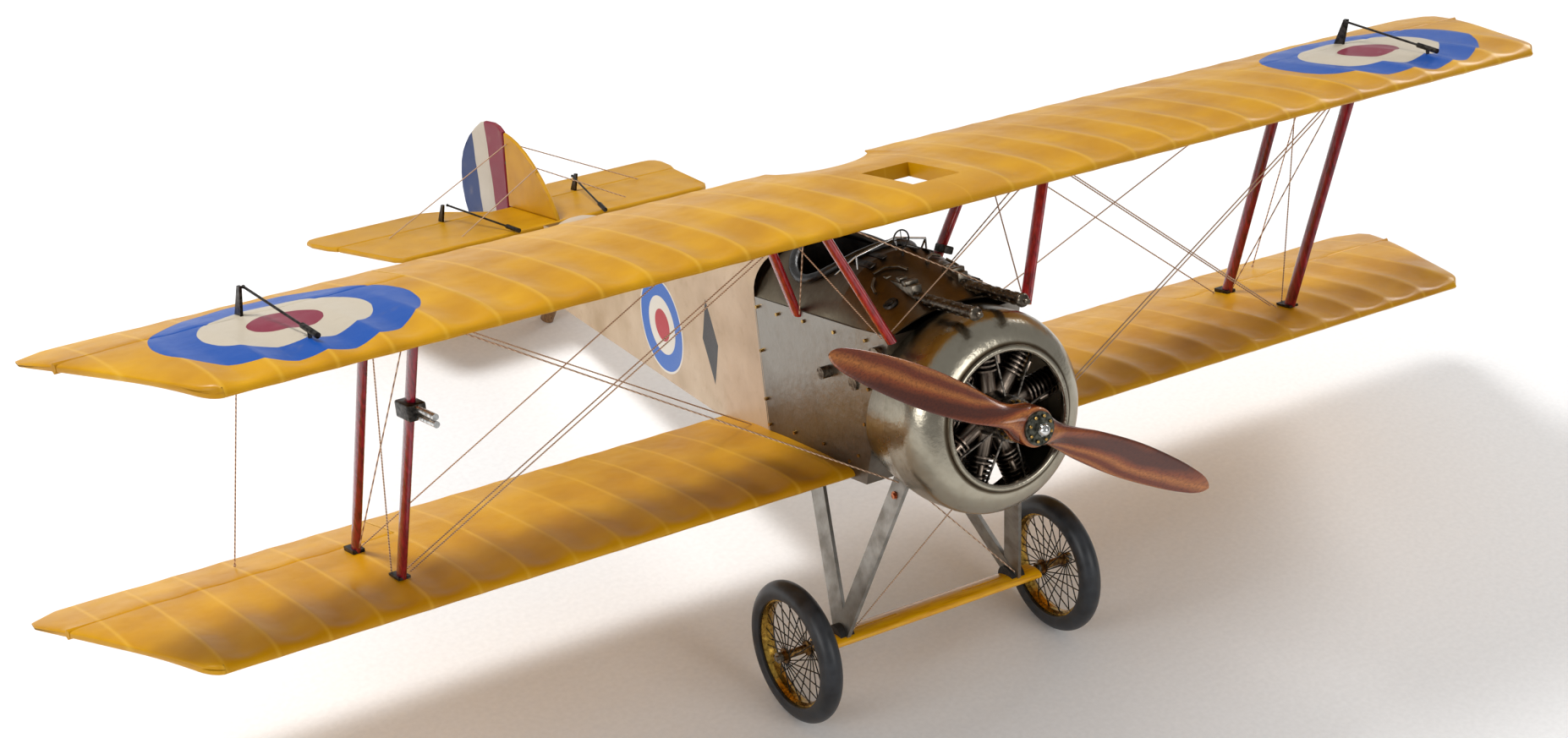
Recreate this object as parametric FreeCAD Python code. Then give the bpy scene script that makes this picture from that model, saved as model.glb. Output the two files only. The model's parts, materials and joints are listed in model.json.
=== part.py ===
import FreeCAD, Part
import math
import os

# Large display biplane: wooden wings under doped cloth, metal nose, rotary engine, wire
# wheels. It is modelled level, in the rigging frame, then turned to the attitude in which it
# stands on its two wheels and its tail skid. +X is the pilot's left, the nose points to -Y
# and +Z is up. The rigging frame's origin is the middle of the upper wing's leading edge.
# Millimetres.
V = FreeCAD.Vector

# ---- driving dimensions ----------------------------------------------------------------
HALF_SPAN = 609.5            # upper and lower wing, centre line to the widest point of the tip
CHORD = 196.0                # wing leading edge to trailing edge
STAGGER = 92.0               # the lower wing sits this far behind the upper one
WING_GAP = 202.6             # and this far below it
TIP_RAKE = 0.3675            # the tip grows this much wider for each millimetre aft
LE_CORNER = 26.0             # rounding of the tip's front corner, in plan
TE_CORNER = 20.0
HINGE_STATION = 136.0        # aileron hinge gap, behind the leading edge
AILERON_ROOT = 359.0         # inboard end of each aileron
WINDOW_HALF = 20.0           # sighting window in the upper wing
NOTCH_HALF = 44.0            # rounded notch in the upper wing's trailing edge
NOTCH_DEPTH = 27.0
HINGE_GAP = 0.8              # between a control surface and what it hangs on

THRUST_Z = -152.0            # propeller axis
PROP_RADIUS = 176.0
PROP_REST = 30.0             # blade angle above the horizontal, right-hand blade up
HUB_FRONT = -53.0
HUB_BACK = -31.0
HUB_RADIUS = 14.0
SHAFT_RADIUS = 3.0
RUN_CLEARANCE = 0.06         # radial, in every turning or sliding fit

COWL_RADIUS = 73.0
COWL_MOUTH = 48.3
COWL_FRONT = -19.3
COWL_WALL = 2.0

LONGERON_Z = -89.0           # upper longerons
BELLY_Z = -(WING_GAP + 3.9)   # just under the lower wing's root
HALF_WIDTH = 57.0            # fuselage frames, inside the metal side panels
PANEL_WALL = 1.2
PANEL_END = 210.0
STERN_Y = 735.0
DECK_TOP = -50.0
COCKPIT_Y = 158.0
COCKPIT_HALF_LENGTH = 42.0
COCKPIT_HALF_WIDTH = 45.0

STRUT_X = 396.0              # interplane struts
FRONT_SPAR = 46.0            # chord stations of the two spars
REAR_SPAR = 122.0
CABANE_TOP_X = 99.0

TAIL_Z = -107.0
TAIL_THICKNESS = 5.0
TAIL_HINGE_Y = 730.0
TAIL_END_Y = 788.0

WHEEL_X = 116.8
AXLE_Y = 106.0
AXLE_Z = BELLY_Z - 119.1
TYRE_RADIUS = 53.8
TYRE_TUBE = 8.3
RIM_RADIUS = 41.0
AXLE_RADIUS = 2.0
SKID_Y = 681.3
SKID_Z = BELLY_Z - 0.4

WIRE_RADIUS = 0.5
ROD_RADIUS = 0.9
PIN_RADIUS = 0.8

parts = {}


# ---- shape helpers ---------------------------------------------------------------------
def rod(start, end, radius):
    axis = end - start
    return Part.makeCylinder(radius, axis.Length, start, axis)


def face(points):
    return Part.Face(Part.makePolygon(points + [points[0]]))


def box(low, high):
    size = V(*high) - V(*low)
    return Part.makeBox(size.x, size.y, size.z, V(*low))


def mirrored(shape):
    return shape.mirror(V(0, 0, 0), V(1, 0, 0))


def both(shape):
    return [shape, mirrored(shape)]


def group(shapes):
    solids = []
    for shape in shapes:
        solids += shape.Solids
    return Part.makeCompound(solids)


def cut_all(shapes, tools):
    return [shape.cut(tools) for shape in shapes]


def blade_bar(start, end, chord, thickness, chord_dir):
    """A bar with an elliptical section, its long axis lying towards chord_dir."""
    axis = (end - start).normalize()
    across = axis.cross(chord_dir).normalize()
    along = across.cross(axis).normalize()
    wide = start + along * (chord / 2)
    thin = start + across * (thickness / 2)
    ellipse = Part.Ellipse(wide, thin, start)
    section = Part.Face(Part.Wire(ellipse.toShape()))
    return section.extrude(end - start)


def strap(start, end, width, wall, chord_dir):
    """A flat bar, its wide faces lying towards chord_dir."""
    axis = (end - start).normalize()
    across = axis.cross(chord_dir).normalize() * (wall / 2)
    along = across.cross(axis).normalize() * (width / 2)
    section = face([start + along + across, start + along - across,
                    start - along - across, start - along + across])
    return section.extrude(end - start)


# ---- wings -----------------------------------------------------------------------------
UPPER_CURVE = ((0, 0), (3, 4.2), (10, 7.2), (25, 9.4), (45, 10.3), (65, 10.2),
               (100, 9.8), (136, 8.6), (170, 5.4), (196, 2.6))
LOWER_CURVE = ((0, 0), (3, -2.4), (10, -3.3), (25, -2.8), (60, -1.4), (100, -0.8),
               (136, -0.5), (170, 0.2), (196, 1.0))
NOSE_RADIUS = 4.2
NOSE_Z = 4.0


def wing_blank(x0, x1):
    """The aerofoil drawn out along the span, before the tip is shaped."""
    scale = CHORD / UPPER_CURVE[-1][0]
    places = [V(x0, y * scale, z) for y, z in reversed(UPPER_CURVE)]
    places += [V(x0, y * scale, z) for y, z in LOWER_CURVE[1:]]
    skin = Part.BSplineCurve()
    skin.interpolate(Points=places)
    edge = Part.LineSegment(places[-1], places[0])
    outline = Part.Wire([skin.toShape(), edge.toShape()])
    return Part.Face(outline).extrude(V(x1 - x0, 0, 0))


def tip_plan():
    """Plan of one wing: straight edges, a raked tip and two rounded corners."""
    slant = math.sqrt(1 + TIP_RAKE ** 2)
    tip_te_x = HALF_SPAN + TE_CORNER * (TIP_RAKE + slant - 1)
    tip_le_x = tip_te_x - TIP_RAKE * CHORD
    corners = [V(0, 0, -30), V(tip_le_x, 0, -30), V(tip_te_x, CHORD, -30), V(0, CHORD, -30)]
    block = face(corners).extrude(V(0, 0, 60))
    for radius, x, y in ((LE_CORNER, tip_le_x, 0), (TE_CORNER, tip_te_x, CHORD)):
        edges = [e for e in block.Edges
                 if abs(e.BoundBox.XLength) < 0.01 and abs(e.BoundBox.YLength) < 0.01
                 and abs(e.CenterOfMass.x - x) < 0.5 and abs(e.CenterOfMass.y - y) < 0.5]
        block = block.makeFillet(radius, edges)
    return block


def aileron_blank():
    """Solid behind the hinge: a round nose on the hinge axis and the tapering tail."""
    centre_y = HINGE_STATION + HINGE_GAP + NOSE_RADIUS
    nose = rod(V(AILERON_ROOT + HINGE_GAP, centre_y, NOSE_Z),
               V(HALF_SPAN + 30, centre_y, NOSE_Z), NOSE_RADIUS)
    body = wing_blank(AILERON_ROOT + HINGE_GAP, HALF_SPAN + 30)
    behind = box((0, centre_y, -30), (HALF_SPAN + 40, CHORD + 5, 30))
    return nose.fuse(body.common(behind)), centre_y


HINGE_X = (380.0, 470.0, 572.0)
LUG_WIDTH = 2.0
LUG_SLOT = 3.2
PIN_LENGTH = 9.0


def hinge(point, axis, back, radius):
    """One lug with its pin: the lug grows out of the fixed surface, opposite to back."""
    side = axis * (PIN_LENGTH / 2)
    pin = rod(point - side, point + side, PIN_RADIUS)
    reach = point - back * (radius + HINGE_GAP)
    up = axis.cross(back).normalize() * 1.5
    half = axis * (LUG_WIDTH / 2)
    plate = face([reach - up - half, reach + up - half, point + up - half, point - up - half])
    eye = rod(point - half, point + half, 1.5)
    return plate.extrude(axis * LUG_WIDTH).fuse(eye).fuse(pin)


def hinge_room(point, axis, back, radius):
    """What a control surface loses for one lug and its pin."""
    side = axis * (PIN_LENGTH / 2 + 0.3)
    bore = rod(point - side, point + side, PIN_RADIUS + RUN_CLEARANCE)
    half = axis * (LUG_SLOT / 2)
    up = axis.cross(back).normalize() * (radius + 1)
    front = point - back * (radius + 1)
    rear = point + back * 2.2
    slot = face([front - up - half, front + up - half, rear + up - half, rear - up - half])
    return slot.extrude(axis * LUG_SLOT).fuse(bore)


PLAN = tip_plan()
AILERON_CUT = box((AILERON_ROOT, HINGE_STATION, -30), (HALF_SPAN + 50, CHORD + 10, 30))
AILERON, AILERON_AXIS_Y = aileron_blank()
AILERON = AILERON.common(PLAN)
LUGS = []
for hinge_x in HINGE_X:
    place = V(hinge_x, AILERON_AXIS_Y, NOSE_Z)
    LUGS.append(hinge(place, V(1, 0, 0), V(0, 1, 0), NOSE_RADIUS))
    AILERON = AILERON.cut(hinge_room(place, V(1, 0, 0), V(0, 1, 0), NOSE_RADIUS))
DROP = V(0, STAGGER, -WING_GAP)

HALF_UPPER = wing_blank(0, HALF_SPAN + 30).common(PLAN).cut(AILERON_CUT)
upper = HALF_UPPER.fuse(mirrored(HALF_UPPER)).removeSplitter()
# see-through sighting window and the rounded notch behind it
upper = upper.cut(box((-WINDOW_HALF, 40, -30), (WINDOW_HALF, 104, 30)))
notch = Part.Ellipse(V(NOTCH_HALF, CHORD, -30), V(0, CHORD - NOTCH_DEPTH, -30), V(0, CHORD, -30))
notch = Part.Face(Part.Wire(notch.toShape())).extrude(V(0, 0, 60))
upper = upper.cut(notch)
parts["upper_wing"] = upper

LOWER_ROOT = 40.0
HALF_LOWER = wing_blank(LOWER_ROOT, HALF_SPAN + 30).common(PLAN).cut(AILERON_CUT)
HALF_LOWER.translate(DROP)


# ---- fuselage --------------------------------------------------------------------------
SEAM_SLOPE = 0.38            # the cowl's rear seam leans forward at the top
SEAM_TOP_Y = 33.0


def seam_y(z):
    return SEAM_TOP_Y + (LONGERON_Z - z) * SEAM_SLOPE


def ahead_of_seam():
    """Everything in front of the slanting seam plane."""
    side = [V(-120, seam_y(0), 0), V(-120, seam_y(-260), -260), V(-120, -200, -260),
            V(-120, -200, 0)]
    return face(side).extrude(V(240, 0, 0))


# station, half width, upper longeron, belly
FRAMES = ((18.0, HALF_WIDTH - 2.5, LONGERON_Z, BELLY_Z),
          (72.0, HALF_WIDTH + 1.5, LONGERON_Z, BELLY_Z),
          (PANEL_END, HALF_WIDTH, LONGERON_Z, BELLY_Z),
          (305.0, HALF_WIDTH * 0.82, LONGERON_Z - 3.5, BELLY_Z + 5.5),
          (607.0, HALF_WIDTH * 0.31, LONGERON_Z - 15.0, BELLY_Z + 30.5),
          (STERN_Y, 4.0, LONGERON_Z - 22.0, BELLY_Z + 41.0))


def frame_wire(frame):
    y, half, top, low = frame
    corners = [V(-half, y, low), V(half, y, low), V(half, y, top), V(-half, y, top)]
    return Part.makePolygon(corners + [corners[0]])


def arch_wire(y, half, base, top):
    """A shallow arch over a straight chord, for the decking."""
    arc = Part.Arc(V(-half, y, base), V(0, y, top), V(half, y, base)).toShape()
    chord = Part.LineSegment(V(half, y, base), V(-half, y, base)).toShape()
    return Part.Wire([arc, chord])


box_body = Part.makeLoft([frame_wire(f) for f in FRAMES], True, True)
box_body = box_body.cut(ahead_of_seam())
rear_deck = Part.makeLoft([arch_wire(PANEL_END, HALF_WIDTH, LONGERON_Z, DECK_TOP - 4),
                           arch_wire(305, HALF_WIDTH * 0.82, LONGERON_Z - 3.5, DECK_TOP - 16),
                           arch_wire(607, HALF_WIDTH * 0.31, LONGERON_Z - 15, TAIL_Z + 9)],
                          True, True)
fuselage = box_body.fuse(rear_deck).removeSplitter()

DECK_WALL = 1.5
DECK_STATIONS = ((18.0, 52.0, LONGERON_Z, -79.0), (60.0, 57.5, LONGERON_Z, -64.0),
                 (100.0, HALF_WIDTH, LONGERON_Z, DECK_TOP),
                 (PANEL_END, HALF_WIDTH, LONGERON_Z, DECK_TOP - 4))


def deck_loft(shrink):
    wires = [arch_wire(y, half - shrink, base, top - shrink)
             for y, half, base, top in DECK_STATIONS]
    return Part.makeLoft(wires, True, True)


COCKPIT_FLOOR = -180.0
cockpit_rim = Part.Ellipse(V(COCKPIT_HALF_WIDTH, COCKPIT_Y, COCKPIT_FLOOR),
                           V(0, COCKPIT_Y + COCKPIT_HALF_LENGTH, COCKPIT_FLOOR),
                           V(0, COCKPIT_Y, COCKPIT_FLOOR))
cockpit_hole = Part.Face(Part.Wire(cockpit_rim.toShape())).extrude(V(0, 0, 150))
deck = deck_loft(0).cut(deck_loft(DECK_WALL)).cut(ahead_of_seam()).cut(cockpit_hole)
parts["forward_deck"] = deck
fuselage = fuselage.cut(cockpit_hole)


def side_panel():
    """Sheet on the left side, from the cowl's seam to the fabric."""
    sheets = []
    for (y, half, top, low) in FRAMES[:3]:
        corners = [V(half, y, low), V(half + PANEL_WALL, y, low),
                   V(half + PANEL_WALL, y, top), V(half, y, top)]
        sheets.append(Part.makePolygon(corners + [corners[0]]))
    return Part.makeLoft(sheets, True, True).cut(ahead_of_seam())


parts["side_panel_left"] = side_panel()
parts["side_panel_right"] = mirrored(parts["side_panel_left"])
BODY_SOLIDS = [fuselage, parts["side_panel_left"], parts["side_panel_right"]]
lower_left = HALF_LOWER.cut(BODY_SOLIDS)
lower_left = max(lower_left.Solids, key=lambda s: s.Volume)
parts["lower_wing_left"] = lower_left
parts["lower_wing_right"] = mirrored(lower_left)

# padded cockpit edge: a leather roll that follows the rim of the opening
COAMING_RADIUS = 3.4


def deck_height(x, y):
    """Height of the deck's skin over a point of the cockpit opening."""
    rise = (DECK_TOP - LONGERON_Z) - 4 * max(0.0, (y - 100) / (PANEL_END - 100))
    radius = (HALF_WIDTH ** 2 + rise ** 2) / (2 * rise)
    return LONGERON_Z + rise - radius + math.sqrt(radius ** 2 - x ** 2)


def coaming():
    points = []
    count = 24
    for i in range(count):
        t = 2 * math.pi * i / count
        x = COCKPIT_HALF_WIDTH * math.cos(t)
        y = COCKPIT_Y + COCKPIT_HALF_LENGTH * math.sin(t)
        points.append(V(x, y, deck_height(x, y)))
    roll = rod(points[-1], points[0], COAMING_RADIUS)
    lengths = [rod(a, b, COAMING_RADIUS) for a, b in zip(points, points[1:])]
    return roll.fuse(lengths + [Part.makeSphere(COAMING_RADIUS, p) for p in points])


parts["cockpit_coaming"] = coaming()

# low wire rail ahead of the cockpit, on four stanchions
rail_points = [V(38, 128, -66), V(30, 106, -49), V(0, 100, -41), V(-30, 106, -49),
               V(-38, 128, -66)]
rail = [rod(a, b, 0.8) for a, b in zip(rail_points, rail_points[1:])]
rail += [Part.makeSphere(0.8, p) for p in rail_points[1:-1]]
rail_body = rail[0]
for piece in rail[1:] + [rod(V(0, 100, -41), V(0, 100, DECK_TOP - 1), 0.8),
                         rod(V(30, 106, -49), V(30, 106, -60), 0.8),
                         rod(V(-30, 106, -49), V(-30, 106, -60), 0.8)]:
    rail_body = rail_body.fuse(piece)
parts["windscreen_rail"] = rail_body.cut([deck, parts["cockpit_coaming"]])


# ---- cowling and engine ----------------------------------------------------------------
def cowl_solid(shrink):
    """Body of revolution inside the cowl's skin, moved in by shrink."""
    r = COWL_RADIUS - shrink
    mouth = COWL_MOUTH
    y0 = COWL_FRONT + shrink
    nose = Part.Arc(V(mouth, y0, 0), V(mouth + 0.72 * (r - mouth), y0 + 7.5, 0), V(r, 6, 0))
    top = Part.LineSegment(V(r, 6, 0), V(r, 26, 0))
    tail = Part.Arc(V(r, 26, 0), V(r - 4, 50, 0), V(r - 14, 84, 0))
    close = [Part.LineSegment(V(r - 14, 84, 0), V(0, 84, 0)),
             Part.LineSegment(V(0, 84, 0), V(0, y0, 0)),
             Part.LineSegment(V(0, y0, 0), V(mouth, y0, 0))]
    wire = Part.Wire([e.toShape() for e in [nose, top, tail] + close])
    solid = Part.Face(wire).revolve(V(0, 0, 0), V(0, 1, 0), 360)
    solid.translate(V(0, 0, THRUST_Z))
    return solid


behind_seam = box((-130, -200, -300), (130, 400, 0)).cut(ahead_of_seam())
cowl_body = cowl_solid(0)
lip = Part.makeTorus(COWL_MOUTH + 1.2, 2.6, V(0, COWL_FRONT + 0.6, THRUST_Z), V(0, 1, 0))
cowl = cowl_body.cut(cowl_solid(COWL_WALL)).fuse(lip)
cowl = cowl.cut(Part.makeCylinder(COWL_MOUTH - 1.0, 12, V(0, COWL_FRONT - 4, THRUST_Z),
                                  V(0, 1, 0)))
cowl = cowl.cut([behind_seam, box((-36, 36, -260), (36, 120, -180))])
parts["cowling"] = max(cowl.Solids, key=lambda s: s.Volume)

CASE_RADIUS = 16.0
CASE_FRONT = -26.0
CASE_BACK = 30.0
CYLINDERS = 9
CYLINDER_Y = 4.0
BARREL = 6.6
FIN_RADIUS = 9.8
FIN_PITCH = 3.6
FIN_WALL = 1.2
HEAD_RADIUS = 64.0


def on_axis(y):
    return V(0, y, THRUST_Z)


case = Part.makeCylinder(CASE_RADIUS, CASE_BACK - CASE_FRONT, on_axis(CASE_FRONT), V(0, 1, 0))
nose_boss = Part.makeCylinder(8.0, 4.6, on_axis(CASE_FRONT - 4.6), V(0, 1, 0))
case = case.fuse(nose_boss)

cylinder = Part.makeCylinder(BARREL, HEAD_RADIUS - 14.8, V(0, 0, 14.8))
fin_z = 31.0
while fin_z < HEAD_RADIUS - 6:
    cylinder = cylinder.fuse(Part.makeCylinder(FIN_RADIUS, FIN_WALL, V(0, 0, fin_z)))
    fin_z += FIN_PITCH
cylinder = cylinder.fuse(Part.makeBox(9, 15, 4, V(-4.5, -7.5, HEAD_RADIUS - 4)))
pushrod = rod(V(0, -22.5, 12), V(0, -9.0, HEAD_RADIUS - 2), 0.9)
barrels = []
pushrods = []
for i in range(CYLINDERS):
    angle = 360.0 * i / CYLINDERS
    for blank, store in ((cylinder, barrels), (pushrod, pushrods)):
        piece = blank.copy()
        piece.rotate(V(0, 0, 0), V(0, 1, 0), angle)
        piece.translate(V(0, CYLINDER_Y, THRUST_Z))
        store.append(piece)
barrels = cut_all(barrels, case)
parts["cylinders"] = group(barrels)
parts["crankcase_and_pushrods"] = group([case] + cut_all(pushrods, [case] + barrels))

plate = Part.makeCylinder(46.0, 3, on_axis(CASE_BACK), V(0, 1, 0))
plate = plate.fuse(Part.makeCylinder(14.0, 60, on_axis(CASE_BACK), V(0, 1, 0)))
plate = plate.cut(fuselage)
parts["engine_plate"] = min(plate.Solids, key=lambda s: s.BoundBox.YMin)

# propeller on its fixed shaft
shaft_back = CASE_FRONT - 4.6
PLATE_WALL = 2.0
nut_back = HUB_FRONT - PLATE_WALL - 0.3
shaft = rod(on_axis(shaft_back), on_axis(nut_back - 4), SHAFT_RADIUS)
hexagon = [V(5 * math.cos(math.radians(60 * i)), nut_back, THRUST_Z + 5 * math.sin(
    math.radians(60 * i))) for i in range(6)]
nut = face(hexagon).extrude(V(0, -4, 0)).fuse(
    Part.makeSphere(4.2, on_axis(nut_back - 4), V(0, -1, 0), 0, 90, 360))
parts["prop_shaft"] = shaft.fuse(nut)

BLADE_STATIONS = ((8.0, 15.0, 13.0, 60.0), (24.0, 21.0, 10.0, 46.0), (55.0, 29.0, 7.5, 33.0),
                  (95.0, 31.0, 6.0, 25.0), (135.0, 25.0, 4.5, 20.0), (160.0, 17.0, 3.4, 17.0),
                  (PROP_RADIUS - 1, 6.0, 2.4, 16.0))


def blade():
    """One blade along +X: radius, chord, thickness and pitch angle at each station."""
    wires = []
    for radius, chord, thick, pitch in BLADE_STATIONS:
        ellipse = Part.Ellipse(V(radius, 0, chord / 2), V(radius, thick / 2, 0),
                               V(radius, 0, 0)).toShape()
        wire = Part.Wire(ellipse)
        wire.rotate(V(0, 0, 0), V(1, 0, 0), pitch)
        wires.append(wire)
    return Part.makeLoft(wires, True, False)


hub_y = (HUB_FRONT + HUB_BACK) / 2
right_blade = blade()
left_blade = right_blade.copy()
left_blade.rotate(V(0, 0, 0), V(0, 1, 0), 180)
hub = Part.makeCylinder(HUB_RADIUS, HUB_BACK - HUB_FRONT, V(0, HUB_FRONT - hub_y, 0), V(0, 1, 0))
prop = hub.fuse([right_blade, left_blade])
prop = prop.cut(Part.makeCylinder(SHAFT_RADIUS + RUN_CLEARANCE, 40, V(0, -20, 0), V(0, 1, 0)))
prop = prop.cut(Part.makeCylinder(60, 30, V(0, HUB_BACK - hub_y, 0), V(0, 1, 0)))
prop.rotate(V(0, 0, 0), V(0, 1, 0), PROP_REST)
prop.translate(on_axis(hub_y))
parts["propeller"] = max(prop.Solids, key=lambda s: s.Volume)

hub_plate = Part.makeCylinder(12.0, PLATE_WALL, on_axis(HUB_FRONT - PLATE_WALL), V(0, 1, 0))
hub_plate = hub_plate.cut(Part.makeCylinder(SHAFT_RADIUS + RUN_CLEARANCE, 10,
                                            on_axis(HUB_FRONT - 5), V(0, 1, 0)))
bolts = []
for i in range(8):
    angle = math.radians(45 * i + 22.5)
    bolts.append(Part.makeCylinder(1.3, 1.0, V(9 * math.cos(angle), HUB_FRONT - PLATE_WALL - 1,
                                               THRUST_Z + 9 * math.sin(angle)), V(0, 1, 0)))
parts["hub_plate"] = group([hub_plate] + bolts)

# ---- guns, sight and fittings ----------------------------------------------------------
GUN_X = 20.0
GUN_Z = -72.0
gun = rod(V(GUN_X, -22, GUN_Z), V(GUN_X, 74, GUN_Z), 4.3)
gun = gun.fuse(rod(V(GUN_X, -27, GUN_Z), V(GUN_X, -22, GUN_Z), 2.4))
gun = gun.fuse(box((GUN_X - 4.5, 40, GUN_Z - 4), (GUN_X + 4.5, 92, GUN_Z + 9)))
gun = gun.cut(deck_loft(0))
gun = max(gun.Solids, key=lambda s: s.Volume).cut(cowl_body)
parts["machine_guns"] = group(both(max(gun.Solids, key=lambda s: s.Volume)))

sight = Part.makeTorus(6.5, 0.6, V(0, 92, -40.8), V(0, 1, 0))
sight = sight.fuse(rod(V(0, 92, -47.2), V(0, 92, -56), 0.9))
sight = sight.fuse([rod(V(-6.5, 92, -40.8), V(6.5, 92, -40.8), 0.35),
                    rod(V(0, 92, -47.2), V(0, 92, -34.4), 0.35)])
parts["ring_sight"] = max(sight.cut(deck_loft(0)).Solids, key=lambda s: s.Volume)

SKIN_X = HALF_WIDTH + PANEL_WALL
covers = []
for y, z, radius, height in ((46.0, -106.0, 8.0, 4.5), (112.0, -128.0, 4.5, 9.0),
                             (80.0, -131.0, 5.0, 3.0)):
    cover = rod(V(-SKIN_X + 4, y, z), V(-SKIN_X - height, y, z), radius)
    covers.append(cover.cut([parts["side_panel_right"], fuselage, parts["cowling"]]))
parts["access_covers"] = group([min(c.Solids, key=lambda s: s.BoundBox.XMin) for c in covers])

screws = []
for y, z in ((60, -96), (100, -97), (140, -96), (176, -97), (204, -96), (205, -130),
             (206, -168), (205, -188), (170, -187), (130, -187), (97, -193), (84, -186),
             (72, -160), (62, -132)):
    screws.append(rod(V(SKIN_X - 0.6, y, z), V(SKIN_X + 2.4, y, z), 1.3))
screws = [s.cut([parts["side_panel_left"], fuselage]) for s in screws]
screws = [max(s.Solids, key=lambda q: q.BoundBox.XMax) for s in screws]
parts["panel_screws"] = group(screws + [mirrored(s) for s in screws])

# ---- tail ------------------------------------------------------------------------------
half_tail = [V(0, 634, 0), V(146, 634, 0), V(156, 644, 0), V(172, TAIL_HINGE_Y - HINGE_GAP, 0),
             V(0, TAIL_HINGE_Y - HINGE_GAP, 0)]
ELEVATOR_NOSE = 2.4
ELEVATOR_AXIS_Y = TAIL_HINGE_Y + ELEVATOR_NOSE
elevator_plan = [V(20, ELEVATOR_AXIS_Y, 0), V(173.5, ELEVATOR_AXIS_Y, 0), V(182, 772, 0),
                 V(178, 786, 0), V(168, TAIL_END_Y, 0), V(66, TAIL_END_Y, 0)]


def plate_at(points, z, wall):
    sheet = face([V(p.x, p.y, z - wall / 2) for p in points])
    return sheet.extrude(V(0, 0, wall))


tailplane = plate_at(half_tail, TAIL_Z, TAIL_THICKNESS)
tailplane = tailplane.fuse(mirrored(tailplane)).removeSplitter()
elevator = plate_at(elevator_plan, TAIL_Z, 2 * ELEVATOR_NOSE)
elevator = elevator.fuse(rod(V(20, ELEVATOR_AXIS_Y, TAIL_Z), V(173.5, ELEVATOR_AXIS_Y, TAIL_Z),
                             ELEVATOR_NOSE))
tail_lugs = []
for hinge_x in (45.0, 100.0, 155.0):
    place = V(hinge_x, ELEVATOR_AXIS_Y, TAIL_Z)
    tail_lugs.append(hinge(place, V(1, 0, 0), V(0, 1, 0), ELEVATOR_NOSE))
    elevator = elevator.cut(hinge_room(place, V(1, 0, 0), V(0, 1, 0), ELEVATOR_NOSE))
tail_lugs = tail_lugs + [mirrored(lug) for lug in tail_lugs]

# the rudder's hinge line leans forward at the top
POST_TOP = V(0, 722.0, -35.0)
POST_LOW = V(0, 739.1, -165.0)
POST_DIR = (POST_TOP - POST_LOW).normalize()
RUDDER_NOSE = 2.2
POST_BACK = V(0, -POST_DIR.z, POST_DIR.y).multiply(-1)
RUDDER_SHIFT = POST_BACK * (RUDDER_NOSE + HINGE_GAP)


def post_y(z):
    return POST_LOW.y + (POST_TOP.y - POST_LOW.y) * (z - POST_LOW.z) / (POST_TOP.z - POST_LOW.z)


def upright(points, wall):
    sheet = face([V(-wall / 2, p[0], p[1]) for p in points])
    return sheet.extrude(V(wall, 0, 0))


fin_points = [(636, -104.5), (646, -86), (660, -70), (680, -54), (700, -42), (post_y(-36), -35.5),
              (post_y(-104.5), -104.5)]
fin = upright(fin_points, 4.0).cut([fuselage, tailplane])
parts["fin"] = max(fin.Solids, key=lambda s: s.Volume)
axis_top = POST_TOP + RUDDER_SHIFT
axis_low = POST_LOW + RUDDER_SHIFT
rudder_points = [(axis_top.y, axis_top.z), (740, -28), (757, -28), (776, -34), (796, -45),
                 (813, -60), (823, -78), (827, -98), (823, -120), (812, -140), (795, -155),
                 (772, -164), (axis_low.y, axis_low.z)]
rudder = upright(rudder_points, 2 * RUDDER_NOSE).fuse(rod(axis_low, axis_top, RUDDER_NOSE))
for share in (0.12, 0.32, 0.78):
    place = axis_low + (axis_top - axis_low) * share
    tail_lugs.append(hinge(place, POST_DIR, POST_BACK, RUDDER_NOSE))
    rudder = rudder.cut(hinge_room(place, POST_DIR, POST_BACK, RUDDER_NOSE))
parts["rudder"] = max(rudder.Solids, key=lambda s: s.Volume)
parts["fin"] = parts["fin"].cut(tail_lugs)

# the fuselage ends in a sternpost that follows the hinge line
past_post = [(post_y(-230), -230), (post_y(-230) + 60, -230), (post_y(-20) + 60, -20),
             (post_y(-20), -20)]
fuselage = fuselage.cut(upright(past_post, 40))
fuselage = fuselage.cut(tailplane)
fuselage = max(fuselage.Solids, key=lambda s: s.Volume)
parts["tailplane"] = tailplane
parts["elevator_left"] = elevator
parts["elevator_right"] = mirrored(elevator)

HORN_WALL = 2.0
HORN_X = 68.0
horn_top = V(HORN_X, 726.7, -89.2)
horn = face([V(HORN_X - 1, 733, TAIL_Z), V(HORN_X - 1, 742, TAIL_Z),
             V(HORN_X - 1, 729.2, -88), V(HORN_X - 1, 725.0, -88)]).extrude(V(HORN_WALL, 0, 0))
horn = horn.cut(elevator)
horn = max(horn.Solids, key=lambda s: s.BoundBox.ZMax)
parts["elevator_horns"] = group(both(horn))

BALL = 1.3                   # ball end of every control rod, beside its horn
ROD_GAP = 0.3


def sliding_rod(mouth, end, throw):
    """A control rod whose front end slides in a closed barrel; returns both."""
    along = (end - mouth).normalize()
    push = rod(mouth - along * (throw + 1.5), end, ROD_RADIUS).fuse(Part.makeSphere(BALL, end))
    sleeve = rod(mouth - along * (2 * throw + 3.5), mouth, BARREL_RADIUS)
    bore = rod(mouth - along * (2 * throw + 2.5), mouth + along, ROD_RADIUS + RUN_CLEARANCE)
    return push, sleeve.cut(bore)


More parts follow.
